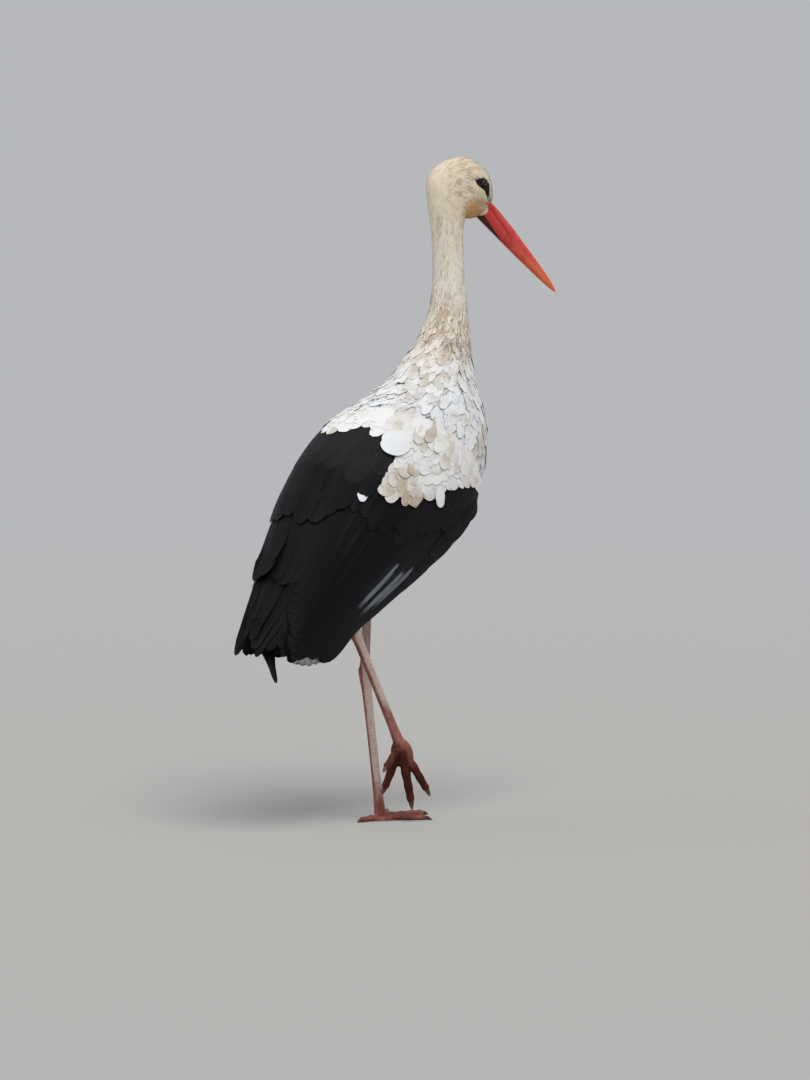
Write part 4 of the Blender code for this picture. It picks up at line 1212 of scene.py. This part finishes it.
def build_scapulars(side, suffix, black):
    surface = WING_SURFACES[suffix]
    coat = Coat("coat_scapulars_" + suffix, 30 + side)
    rng = coat.rng
    lap, end = 0.035 * side + 0.004, 0.338
    for row, offset in enumerate((0, 10, 48, 96)):
        count = 6 if row % 2 else 5
        v = lap + (np.arange(count) + (0.5 if row % 2 == 0 else 0.0)) / 5 * (end - lap)
        v = np.clip(v + rng.normal(0, 0.010, count), lap - 0.004, end)
        u = SCAPULAR_TIPS(v) - offset + rng.normal(0, 4.5, count)
        keep = u > SCAPULAR_FRONT(v) + 10
        u, v = u[keep], v[keep]
        n = len(u)
        length = np.minimum(150 - 0.3 * offset, u - SCAPULAR_FRONT(v) + 30)
        # The tone paints a highlight on the scapulars toward the shoulder, over their wear.
        lay(coat, surface, u, v, length, 23.0 * rng.uniform(0.85, 1.15, n), 30, None, 3.0,
            {"tone": wear_and_highlight(rng, 0.14, 0.08, 0.12 if row else 0.25, 0.55)},
            camber=0.5, bow=1.35, point=0.22, yaw=rng.normal(0, 0.04, n), roll=0.25, ridge=0.2,
            ragged=0.008, thick=0.4, skew=0.1, lower=0.1 + (0.7 if row == 1 else 0.0))
    coat.finish(black, "black_plumage", "scapulars_" + suffix)


def build_flight(side, suffix, black):
    """Greater coverts and flight feathers."""
    surface = WING_SURFACES[suffix]
    coat = Coat("coat_flight_" + suffix, 40 + side)
    rng = coat.rng

    # Greater coverts: one row that comes out from under the white, and one under it.
    v = np.linspace(0.30, 0.93, 13) + rng.normal(0, 0.005, 13)
    reach = 52 - 12 * between(v, 0.75, 1.0)
    u = np.where(v < SCAPULAR_END, 204, COVERT_TIPS(v)) + reach + rng.normal(0, 3.0, 13)
    lay(coat, surface, u, v, np.minimum(90, u - COVERT_FRONT(v) - 12), 15.5, **GREATER_COVERT,
        lower=2.0, droop=0.5, values={"tone": wear_and_highlight(rng, 0.16, 0.08, 0.1)})
    v = np.linspace(0.56, 0.95, 8)
    u = COVERT_TIPS(v) + 92
    lay(coat, surface, u, v, np.minimum(100, u - COVERT_FRONT(v) - 16), 15.5, **GREATER_COVERT,
        lower=2.7, values={"tone": wear_and_highlight(rng, 0.14, 0.06, 0.1)})

    # Primary coverts and the bastard wing, along the lower edge.
    lay(coat, surface, np.array((152, 188, 204, 228, 258, 282, 310, 334)),
        np.array((0.965, 0.925, 0.97, 0.93, 0.975, 0.95, 0.985, 0.965)),
        np.array((56, 88, 98, 102, 104, 104, 104, 104)), 15.0, 24, None, 2.5,
        {"tone": wear_and_highlight(rng, 0.16, 0.08, 0.1)}, camber=0.5, bow=1.5, point=0.30, root_width=0.3,
        roll=0.6, ridge=0.3, ragged=0.010, thick=0.4,
        lower=np.array((0.9, 1.8, 1.4, 2.2, 1.9, 2.6, 2.3, 2.9)))

    # Secondaries and tertials, the inner over the outer.
    lobes = np.array((0.085, 0.27, 0.48, 0.69, 0.91))
    for start, sink in ((0.08, 0.5), (0.055, 0.0)):
        v = np.arange(start, 0.965, 0.0535)
        silvery = (between(v, 0.58, 0.64) * between(v, 0.92, 0.86))[:, None, None]

        def bloom(points, t, x):
            """Silvery streaks on the outer webs of a few feathers low on the wing."""
            along = trunk_frame(points)[0] + rng.uniform(-14, 14, (len(points), 1, 1))
            return (silvery * between(along, 262, 278) * between(along, 392, 330)
                    * between(x, 0.05, 0.3) * rng.uniform(0.2, 1.0, (len(points), 1, 1)))

        from_lobe = np.abs(v[:, None] - lobes[None, :]).min(1) / 0.105
        u = SECONDARY_TIPS(v) - 12.0 * from_lobe ** 1.5 + rng.normal(0, 1.0, len(v))
        cover_edge = np.where(v < 0.345, SCAPULAR_TIPS(v), COVERT_TIPS(v))
        lay(coat, surface, u, v, np.minimum(u - cover_edge + 42, 330 + 50 * between(v, 0.7, 0.9)),
            17.5 + 5.0 * between(v, 0.34, 0.10), 44, None, 3.0,
            {"tone": wear_and_highlight(rng, 0.05, 0.07, 0.15), "bloom": bloom}, camber=0.8, bow=1.5, point=0.10,
            root_width=0.85, roll=1.2, ridge=0.4,
            rise=8.0 * between(v, 0.19, 0.08) if side > 0 else 0.0,
            ragged=0.004, thick=0.5, skew=0.22, lower=3.2 + sink)

    # Primaries: their broad tips show past the secondaries.
    for order, (place, reach, half, point, turn) in enumerate(PRIMARIES[suffix]):
        lay(coat, surface, [reach], [place], 120 if turn else 190, half, 40, None, 3.0,
            {"tone": wear_and_highlight(rng, 0.03, 0.04, 0.12)}, camber=0.8, bow=2.8 if point > 0.5 else 1.6,
            point=point, root_width=0.8, ridge=0.5, ragged=0.003, roll=8.0 if point > 0.8 else 0.8,
            thick=0.5, skew=0.12, yaw=turn, lower=7.5 + 0.7 * (order % 2), flat=2 if turn else 1)
    coat.finish(black, "black_plumage", "secondaries_" + suffix, "primaries_" + suffix)


def build_tail(white):
    coat = Coat("coat_tail", 51)
    rng = coat.rng
    quiet = {"tone": lambda p, t, x: 0.22 + 0.10 * t, "cream": 0.10}
    places = np.concatenate([np.linspace(-0.17, 0.17, 7), np.linspace(0.33, 0.67, 7)])
    reach = 473 - 150 * (np.mod(places + 0.25, 0.5) - 0.25) ** 2 * 2
    lay(coat, TAIL_SURFACE, reach, places, 118, 13.5, 26, None, 2.0, quiet, camber=0.6, bow=0.9,
        point=0.16, root_width=0.6, ridge=0.5, ragged=0.008, thick=0.5, lower=0.6, flat=1)
    u, v = cover(TAIL_SURFACE, 342, 448, lambda q: 12.0, lambda q: 10.0, rng)
    lay(coat, TAIL_SURFACE, u, v, 44, 9.5, 6, 6, 3.0, quiet, rise=rng.uniform(-0.3, 0.9, len(u)),
        camber=1.0, bow=1.3, point=0.25, yaw=rng.normal(0, 0.08, len(u)), ragged=0.03, lower=-0.2)
    coat.finish(white, "white_plumage")


def build_thighs(white):
    coat = Coat("coat_thighs", 61)
    rng = coat.rng
    for side, suffix in SIDES:
        surface = THIGH_SURFACES[suffix]
        u, v = cover(surface, -0.152, 0.49, lambda q: 6.5 - 2.8 * between(q, -0.07, -0.13),
                     lambda q: 5.5 - 2.0 * between(q, -0.07, -0.13), rng)
        n = len(u)
        low = between(u, 0.2, 0.5)
        length = np.minimum(27 - 6 * low,
                            np.maximum((u + 0.16) * surface.read(surface.rate_u, u, v), 7.0))
        lay(coat, surface, u, v, length, 5.2 - 1.6 * low, 5, 4, 3.4,
            {"tone": lambda p, t, x: 0.30 + 0.15 * t, "cream": 0.2}, rise=rng.uniform(-0.5, 1.0, n),
            camber=0.8, bow=1.8, point=0.4, yaw=rng.normal(0, 0.10, n), ragged=0.09)
    coat.finish(white, "white_plumage")


# ---- bill

BILL_ROOT = (61.3, 967.4)
BILL_SLOPE = math.radians(46.0)
BILL_START, BILL_LENGTH = -9.0, 184.0       # from the feathers; the horn starts under them
# Distance from the feathers, height of the ridge over the gape, depth below it, half width.
BILL_CURVES = curves_of((
    (-9.0, 15.0, 15.5, 11.2), (0.0, 16.6, 17.4, 12.0), (12.0, 17.4, 16.8, 11.8),
    (34.0, 17.2, 15.4, 10.8), (62.0, 15.8, 13.8, 9.4), (90.0, 13.6, 12.0, 8.0),
    (118.0, 11.4, 9.6, 6.6), (146.0, 8.6, 7.2, 5.0), (168.0, 5.4, 4.6, 3.2),
    (180.0, 2.4, 2.2, 1.6), (184.0, 0.9, 0.9, 0.5)))
GAPE_LINE = Curve(((-9, -5.4), (8, -4.6), (36, -2.4), (58, -0.6), (84, 1.5), (106, 1.6),
                   (130, 1.4), (184, 0.0)))
NOSTRIL_FURROW = Curve(((-9, 10.5), (10, 8.6), (36, 4.8), (60, 2.6), (90, 1.5), (184, 1.0)))


def bill_point(along, rise, side):
    forward = BILL_ROOT[0] + along * math.cos(BILL_SLOPE) + rise * math.sin(BILL_SLOPE)
    height = BILL_ROOT[1] - along * math.sin(BILL_SLOPE) + rise * math.cos(BILL_SLOPE)
    return profile_point(forward, height, side, HEAD_TURN)


def build_bill(material):
    """Both halves of the bill: a thin line of gape between them, and a slit of a nostril."""
    rows, arc = 110, 30
    share = 1 - (1 - np.linspace(0, 1, rows)) ** 1.25
    along = (BILL_START + (BILL_LENGTH - BILL_START) * share)[:, None]
    phi = np.linspace(0, np.pi, arc)[None, :]
    across_floor = np.array((-0.75, -0.3, 0.3, 0.75))[None, :]
    ridge, keel, half = (c(along) for c in BILL_CURVES)
    fall = GAPE_LINE(along)

    def painted(values, on_floor=0.0):
        inside = np.full((rows, across_floor.size), on_floor)
        return capped(np.concatenate([values, inside], 1)).ravel()

    for name, sign, deep, trim, fullness in (("upper", 1, ridge + fall, 1.0, 1.86),
                                             ("lower", -1, keel - fall, 0.982, 2.05)):
        upper = sign > 0
        edge = 1 - 0.05 * hump(np.sin(phi) * deep, 0, 0.7)
        rise = power(np.sin(phi), fullness) * (deep - 0.05) + 0.05
        level = sign * rise - fall
        nostril = upper * np.exp(-(((along - 20) / 8.0) ** 2 + ((level - ridge * 0.80) / 0.9) ** 2))
        furrow = upper * hump(level, NOSTRIL_FURROW(along), 2.6) * between(along, 84, 40)
        across = (power(np.cos(phi), 2.0) * half * edge * trim * (1 - 0.20 * nostril)
                  * (1 - 0.030 * furrow))
        rings = np.concatenate([bill_point(along, level, across),
                                bill_point(along, sign * 0.05 - fall, across_floor * half)], 1)
        reach = capped(np.clip(along / BILL_LENGTH, 0, 1))
        # Pale strips along the gape edge and the ridge: wear and a painted highlight.
        edge_pale = hump(rise, 0.9, 0.7) * between(along, 50, 70) * between(along, 175, 140)
        ridge_pale = between(level / ridge, 0.80, 0.97) * between(along, 4, 14)
        line = 0.4 * hump(rise, 0, 0.25) * between(along, 90, 50) + 1.2 * nostril
        add_piece("bill_horn_" + name, *loft(rings), {
            "reach": np.broadcast_to(reach, (rows + 2, rings.shape[1])),
            "rise": painted(level / ridge),
            # keel paints shade under the base.
            "keel": painted(between(-level / keel - (0.46 + 0.0090 * along), -0.12, 0.12)),
            "groove": painted(furrow),
            "pale": painted(np.maximum(edge_pale * 0.8, ridge_pale) if upper else 0.3 * edge_pale),
            "line": painted(np.clip(line, 0, 1), 0.8)}, (material,), "bill_horn", ("bill_" + name,))


# ---- eyes

EYE_FORWARD, EYE_HEIGHT, EYE_SIDE, EYE_RADIUS = 50.5, 1008.5, 19.6, 7.6


def eye_frame(side):
    """Centre of the eye, the way it looks, and the ways forward and up over it."""
    turn = math.radians(HEAD_TURN)
    out = np.array((math.cos(turn), -math.sin(turn), 0.0)) * side
    forward = np.array((-math.sin(turn), -math.cos(turn), 0.0))
    axis = unit(out + forward * 0.22)
    centre = profile_point(EYE_FORWARD, EYE_HEIGHT, side * EYE_SIDE, HEAD_TURN)
    ahead = unit(forward - axis * (forward @ axis))
    upward = np.cross(axis, ahead) * side
    return centre, axis, ahead, upward if upward[2] > 0 else -upward


def build_eyes(material):
    for side, suffix in SIDES:
        centre, axis, ahead, upward = eye_frame(side)
        theta = np.linspace(0.02, np.pi - 0.02, 48)[:, None]
        phi = round_steps(64, 2 * np.pi)[None, :]
        swell = 1 + 0.045 * hump(theta, 0, 0.55)
        shape = (axis * (np.cos(theta) * swell)[..., None]
                 + ahead * (np.sin(theta) * np.cos(phi))[..., None]
                 + upward * (np.sin(theta) * np.sin(phi))[..., None]) * EYE_RADIUS
        ring = capped(np.where(theta < np.pi / 2, np.sin(theta), 1.0) * np.ones_like(phi))
        ring[0] = 0
        add_piece("eyeball_" + suffix, *loft(centre + shape), {"ring": ring}, (material,), "eye",
                  ("eye_" + suffix,))


def lid_rings(tree, side):
    """A fold of bare skin round the eye, from inside its rim out to the face."""
    centre, axis, ahead, upward = eye_frame(side)
    ring_count, ring_points = 30, 72
    start = 30              # rays toward the face start this far out
    rings = []
    for s in np.linspace(0, 1, ring_count):
        ring = []
        for a in round_steps(ring_points, 2 * np.pi):
            oval = 1 + (0.10 * math.cos(a) ** 2 - 0.07 * math.sin(a) ** 2) * (1 - s)
            brow = 1 - 0.05 * hump(a, math.pi / 2, 0.7) * (1 - s)
            r = (5.15 + 6.2 * max(s - 0.12, 0) / 0.88) * oval * brow
            flat = ahead * (math.cos(a) * r) + upward * (math.sin(a) * r)
            ball = math.sqrt(max((EYE_RADIUS + 0.12) ** 2 - min(r, EYE_RADIUS) ** 2, 0.0))
            met = tree.ray_cast(Vector((centre + flat + axis * start) * MM), Vector(-axis))[3]
            face = 0.0 if met is None else start - met / MM
            rim = ball + 0.62 * math.sin(min(s / 0.24, 1.0) * math.pi / 2) - 0.5 * (s < 0.02)
            fold = 0.16 * math.sin(s * 26 + 0.8 * math.sin(3 * a)) * between(s, 0.15, 0.3) * (1 - s)
            blend = between(s, 0.25, 0.85)
            height = rim * (1 - blend) + (face + 0.30) * blend + fold - 1.2 * between(s, 0.86, 1.0)
            ring.append(centre + flat + axis * height)
        rings.append(ring)
    return np.array(rings)


# ---- legs and feet

SHIN_RADII = Curve(((0.0, 9.2), (0.35, 7.6), (0.75, 7.4), (1.0, 9.0)))
SHANK_RADII = Curve(((0.0, 8.0), (0.035, 10.2), (0.08, 9.8), (0.16, 8.0), (0.5, 7.1), (0.82, 7.3),
                     (0.94, 8.7), (1.0, 9.2)))
# Toe: length from the centre of the foot, root radius, number of joints.
TOES = {"inner": (84, 6.1, 3), "middle": (104, 6.5, 4), "outer": (92, 6.1, 4), "hind": (50, 5.6, 2)}
CLAW_LENGTH = {"inner": 12, "middle": 14, "outer": 12, "hind": 10}
TOE_ANGLES = {"left": {"inner": 41, "middle": 0, "outer": -41, "hind": 180},
              "right": {"inner": 31, "middle": 0, "outer": -21, "hind": 0}}
TOE_START = 12.0
BAR_SIDES, LEG_SIDES = 18, 24       # of the bars that toes and claws, and the legs, are made from


def foot_frame(suffix):
    """Origin, forward, inward and up of a foot."""
    if suffix == "left":
        return np.zeros(3), np.array((0, -1.0, 0)), np.array((-1.0, 0, 0)), np.array((0, 0, 1.0))
    down = unit((0, -0.26, -0.966))
    inward = np.array((0.766, 0.643, 0))
    inward = unit(inward - down * (down @ inward))
    return np.array(LEGS["right"][2], float), down, inward, unit(np.cross(down, inward))


def toe_line(suffix, name):
    """Middle line and radii of one toe, root first, and the way it points at its end."""
    origin, forward, inward, upward = foot_frame(suffix)
    length, radius, joints = TOES[name]
    angle = math.radians(TOE_ANGLES[suffix][name])
    way = forward * math.cos(angle) + inward * math.sin(angle)
    if suffix == "right" and name == "hind":
        way = unit((0.09, 0.66, -0.74))
    share = np.linspace(0, 1, 40)
    pads = 0.5 + 0.5 * np.cos(2 * np.pi * (share * joints + 0.12))
    end = 1 - 0.2 * between(share, 0.93, 1.0)
    radii = 0.5 + radius * (1.0 - 0.26 * share) * (0.94 + 0.13 * pads) * end
    start = TOE_START * 0.4
    reach = start + (length - CLAW_LENGTH[name] - start) * share
    if suffix == "right":
        radii = radii * 1.17
    lift = radii * 0.82 if suffix == "left" else -7.0 * share * share
    path = origin + way * reach[:, None] + upward * lift[:, None]
    return path, radii, reach, unit(path[-1] - path[-4])


def leg_shell(suffix):
    """Shin, ankle, shank and foot of one leg, fused in one skin."""
    knee, ankle, foot = (np.array(p, float) for p in LEGS[suffix])
    line = ankle - knee
    down = unit(foot - ankle)
    top = ankle - down * 7
    side = unit(np.cross(line, foot - ankle)) if suffix == "right" else np.array((1.0, 0, 0))
    if side[0] < 0:
        side = -side
    fore = unit(np.cross(down, side))
    shin = knee + line * np.linspace(0.36, 1.0, 40)[:, None]
    share = np.linspace(0, 1, 90)
    shank = top + (foot - top) * share[:, None]
    origin, forward, inward, upward = foot_frame(suffix)
    toes = [toe_line(suffix, name)[:3] for name in TOES]

    def pad(ahead, aside, radii):
        centre = origin + forward * ahead + inward * aside
        return ball_shell(centre, (inward, forward, upward), radii)

    parts = [loft(tube(shin, SHIN_RADII(np.linspace(-0.1, 1.0, 40)), fore, LEG_SIDES)),
             loft(tube(shank, SHANK_RADII(share), fore, LEG_SIDES, 0.98))]
    parts += [ball_shell(ankle + side * shift - down * 1.0, (side, fore, down), (6.2, 9.6, 10.5))
              for shift in (-3.2, 3.2)]
    if suffix == "left":
        parts.append(pad(9, 0, (18.5, 25.5, 9.0)))
    else:
        parts.append(pad(7, 0, (15.5, 22.0, 8.5)))
        parts += [pad(13, swing, (8.5, 20.0, 7.5)) for swing in (-9.0, 9.0)]
    parts.append(ball_shell(foot, (side, fore, down), (9.2, 9.6, 12.0)))
    parts += [loft(tube(path, radii, upward, BAR_SIDES, 0.86)) for path, radii, reach in toes]
    points, quads = fused("leg_" + suffix, parts, voxel=1.0, rounds=2)
    height = points[:, 2]
    if suffix == "left":
        height[:] = np.where(height < 1.2, np.maximum(height * 0.6, 0.05), height)
    # Where each point is along its toe, and how near it is to the toes at all.
    reach_at = np.linalg.norm(points - foot, axis=1)
    best = np.full(len(points), 9.0)
    for path, radii, reach in toes:
        away = np.linalg.norm(points[:, None, :] - path[None, ::2], axis=2)
        nearest = away.argmin(1)
        far = away.min(1) - radii[::2][nearest]
        along = reach[::2][nearest]
        better = (far < best) & (along > 14)
        best[better] = far[better]
        reach_at[better] = along[better]
    # A dark rear edge that is partly painted shade on the side away from the light, and a pale
    # front that is dust and partly painted light; deep also darkens the standing leg toward the
    # ground, and paints shade on the raised foot.
    edge = np.array((0.67, 0.74, 0.0))
    edge = unit(edge - down * (down @ edge))
    behind = (points - ankle) @ edge
    if suffix == "left":
        dust_and_painted_light = between(height, 10, 90) * between(behind, 5.6, 2.2) \
            * (1 - 0.35 * between(height, 215, 250))
        deep = 0.30 * between(height, 60, 10) \
            + 0.28 * between(behind, 4.2, 6.2) * between(height, 20, 60)
    else:
        dust_and_painted_light = 0.85 * between(height, 150, 210) * between(behind, 3.6, -1.0)
        ahead, aside, above = ((points - origin) @ way for way in (forward, inward, upward))
        palm = between(ahead, 0, 9) * between(np.abs(aside), 12, 6) * between(above, 3, -2)
        deep = 0.55 * between(height, 138, 116) + 0.45 * np.maximum(palm, between(ahead, 24, 38)) \
            + 0.35 * between(behind, 2.5, 6.0) * between(height, 330, 290)
    return points, quads, {"toe": between(best, 4.0, 1.5), "reach": reach_at, "dust_and_painted_light": dust_and_painted_light,
                           "deep": np.clip(deep, 0, 1)}


def build_claws(material):
    for side, suffix in SIDES:
        upward = foot_frame(suffix)[3]
        for name in TOES:
            path, radii, reach, way = toe_line(suffix, name)
            t = np.linspace(0, 1, 24)
            bend = -2.6 * t ** 2 if suffix == "right" else \
                1.2 * np.sin(np.pi * t) - (radii[-1] * 0.82 - 1.4) * t ** 1.5
            line = path[-1] - way * 3.0 + way * ((CLAW_LENGTH[name] + 2.4) * t)[:, None] \
                + upward * bend[:, None]
            rings = tube(line, radii[-1] * (0.72 * (1 - t ** 2.6) + 0.10), upward, BAR_SIDES, 0.85)
            if suffix == "left":
                rings[..., 2] = np.maximum(rings[..., 2], 0.05)
            shade = {"reach": np.repeat(capped(t), BAR_SIDES)}
            add_piece(name + "_nail_" + suffix, *loft(rings), shade, (material,), "claw_horn",
                      (name + "_claw_" + suffix,))


# ---- skin

def body_flesh():
    """The skin of the head, neck and trunk, and a tree that finds it with rays."""
    sides, start, fine_step, wide_step = 176, 0.3, 0.95, 4.5
    marks = np.concatenate([np.arange(start, MARK["throat"], fine_step),
                            np.arange(MARK["throat"], MARKS[-1], wide_step), [MARKS[-1]]])
    body, quads = loft(body_shape(marks[:, None], round_steps(sides)[None, :],
                                  COAT_DEPTH(marks)[:, None]))
    # The bare face stands a little nearer the tips of the feathers round it.
    lift = np.maximum(bare_at(body, 1.2), gape_at(body, 1.0)) * 0.35
    middle = np.repeat(body.reshape(-1, sides, 3).mean(1), sides, 0)
    body = body + unit(body - middle) * lift[:, None]
    bare = np.clip(bare_at(body, 1.0, 0.62), 0, 1)
    at_bill = between(np.repeat(capped(marks), sides), 2.2, 0.8)
    gape = np.clip(gape_at(body, 0.8) + at_bill, 0, 1)
    coarse = fill_mesh("face_rays", body, quads)
    shape = bmesh.new()
    shape.from_mesh(coarse)
    bmesh.ops.triangulate(shape, faces=shape.faces)
    tree = BVHTree.FromBMesh(shape)
    shape.free()
    bpy.data.meshes.remove(coarse)
    return (body, quads, {"bare": bare, "gape": gape * (1 - bare), "cream": cream_at(body)}), tree


def wing_flesh(side):
    """A thin slab under the coverts and scapulars, black where they are black."""
    across = np.linspace(-0.01, 0.97, 60)[:, None]
    inner = across < SCAPULAR_END
    start = np.where(across < 0.16, 74.0, COVERT_FRONT(across) + 10)
    end = np.where(inner, SCAPULAR_TIPS(across) - 24, COVERT_TIPS(across) + 6)
    share = np.linspace(0, 1, 40)[None, :]
    along = start + (end - start) * share
    edge = np.minimum(np.minimum(share, 1 - share) * 8, 1.0)
    edge = np.sqrt(1 - (1 - edge) ** 2)
    wing, middle = wing_shape(side), 14.0       # how deep the middle of the slab lies
    rings = np.concatenate([wing(along, across, middle - 6.5 * edge),
                            wing(along, across, middle + 6.0 * edge)[:, ::-1]], 1)
    black_start = np.where(inner, SCAPULAR_FRONT(across) + 4, COVERT_TIPS(across) - 12)
    dark = between(along - black_start, -4, 4)
    return (*loft(rings), {"dark": capped(np.concatenate([dark, dark[:, ::-1]], 1)).ravel()})


def build_skin(skin, legs):
    """One skin: body, lids, flesh of the wings and tail, thighs, legs and feet."""
    body, tree = body_flesh()
    parts = [body]
    parts += [(*loft(lid_rings(tree, side), closed_ends=False), {"bare": 1.0})
              for side, suffix in SIDES]
    parts += [wing_flesh(side) for side, suffix in SIDES]
    tail = tail_shape(np.linspace(335, 440, 30)[:, None], round_steps(40)[None, :], 3.5)
    parts.append((*loft(tail), {}))
    shares = np.concatenate([np.linspace(-0.155, -0.06, 16), np.linspace(-0.04, 0.52, 30)])[:, None]
    parts += [(*loft(thigh_shape(suffix)(shares, round_steps(32)[None, :], 3.2)), {})
              for side, suffix in SIDES]
    leg_start = sum(len(part[1]) for part in parts)
    parts += [leg_shell(suffix) for side, suffix in SIDES]

    # deep is painted shade on the legs and feet; the dust values are partly painted light.
    values = {key: np.concatenate([np.broadcast_to(given.get(key, 0.0), len(points))
                                   for points, quads, given in parts])
              for key in ("bare", "gape", "cream", "dark", "toe", "reach", "dust_and_painted_light", "deep")}
    nodes = ["head", "neck_upper", "neck_lower", "trunk", "tail"]
    for side, suffix in SIDES:
        nodes += [part + "_" + suffix for part in ("thigh", "shin", "shank", "foot", "inner_toe",
                                                   "middle_toe", "outer_toe", "hind_toe")]
    mesh = add_piece("skin", *joined(parts), values, (skin, legs), "leg_skin", nodes)
    kind = np.zeros(len(mesh.polygons), np.int32)
    kind[leg_start:] = 1
    mesh.polygons.foreach_set("material_index", kind)


# ---- stage

PALE = (0.47, 0.48, 0.495)


def sun_light(name, toward, softness, strength, colour):
    """A distant soft light that comes from the given side."""
    data = bpy.data.lights.new(name, "SUN")
    data.angle = math.radians(softness)
    data.energy = strength
    data.color = colour
    obj = bpy.data.objects.new(name, data)
    bpy.context.scene.collection.objects.link(obj)
    obj.rotation_euler = (-Vector(toward)).to_track_quat("-Z", "Y").to_euler()


def build_stage():
    """A pale floor that fades into the pale surroundings."""
    paint = Paint("stage", Roughness=0.9, Specular_IOR_Level=0.1)
    paint.done(Base_Color=(0.42, 0.415, 0.405))
    far = paint.node("VectorMath", {"operation": "LENGTH"}, {0: paint.place()}, 1)
    blend = paint.node("MixShader", None, {
        0: paint.step(far, 1.2, 7.0), 1: Num(paint, paint.shader.outputs[0]),
        2: paint.node("Emission", None, {0: PALE})})
    paint.feed(paint.tree.nodes["Material Output"].inputs[0], blend)
    mesh = bpy.data.meshes.new("floor")
    shape = bmesh.new()
    bmesh.ops.create_circle(shape, cap_ends=True, segments=96, radius=40.0)
    shape.to_mesh(mesh)
    shape.free()
    floor = show("floor", mesh, paint.material)

    scene = bpy.context.scene
    world = bpy.data.worlds.new("studio")
    scene.world = world
    world.use_nodes = True
    world.node_tree.nodes["Background"].inputs[0].default_value = (*PALE, 1.0)
    world.node_tree.nodes["Background"].inputs[1].default_value = 1.0
    sun_light("key", (-0.55, 0.25, 1.0), 40.0, 2.2, (1.0, 0.98, 0.95))
    sun_light("side", (0.7, 0.9, 0.55), 60.0, 0.45, (0.95, 0.97, 1.0))
    scene.view_settings.view_transform = "Standard"

    data = bpy.data.cameras.new("camera")
    data.sensor_width = 36.0
    data.lens = 147.68
    data.clip_end = 200.0
    camera = bpy.data.objects.new("camera", data)
    scene.collection.objects.link(camera)
    camera.location = (-5.21613, 4.64323, 0.93379)
    aim = Vector((-0.02678, -0.02927, 0.44549)) - camera.location
    camera.rotation_euler = aim.to_track_quat("-Z", "Y").to_euler()
    scene.camera = camera


# ---- the whole bird

white, black = white_plumage(), black_plumage()
build_skin(bird_skin(), leg_skin())
build_bill(bill_horn())
build_eyes(eye_wet())
build_claws(claw_horn())
build_head_and_neck(white)
for side, suffix in SIDES:
    build_wing_white(side, suffix, white)
    build_scapulars(side, suffix, black)
    build_flight(side, suffix, black)
build_tail(white)
build_thighs(white)
build_stage()
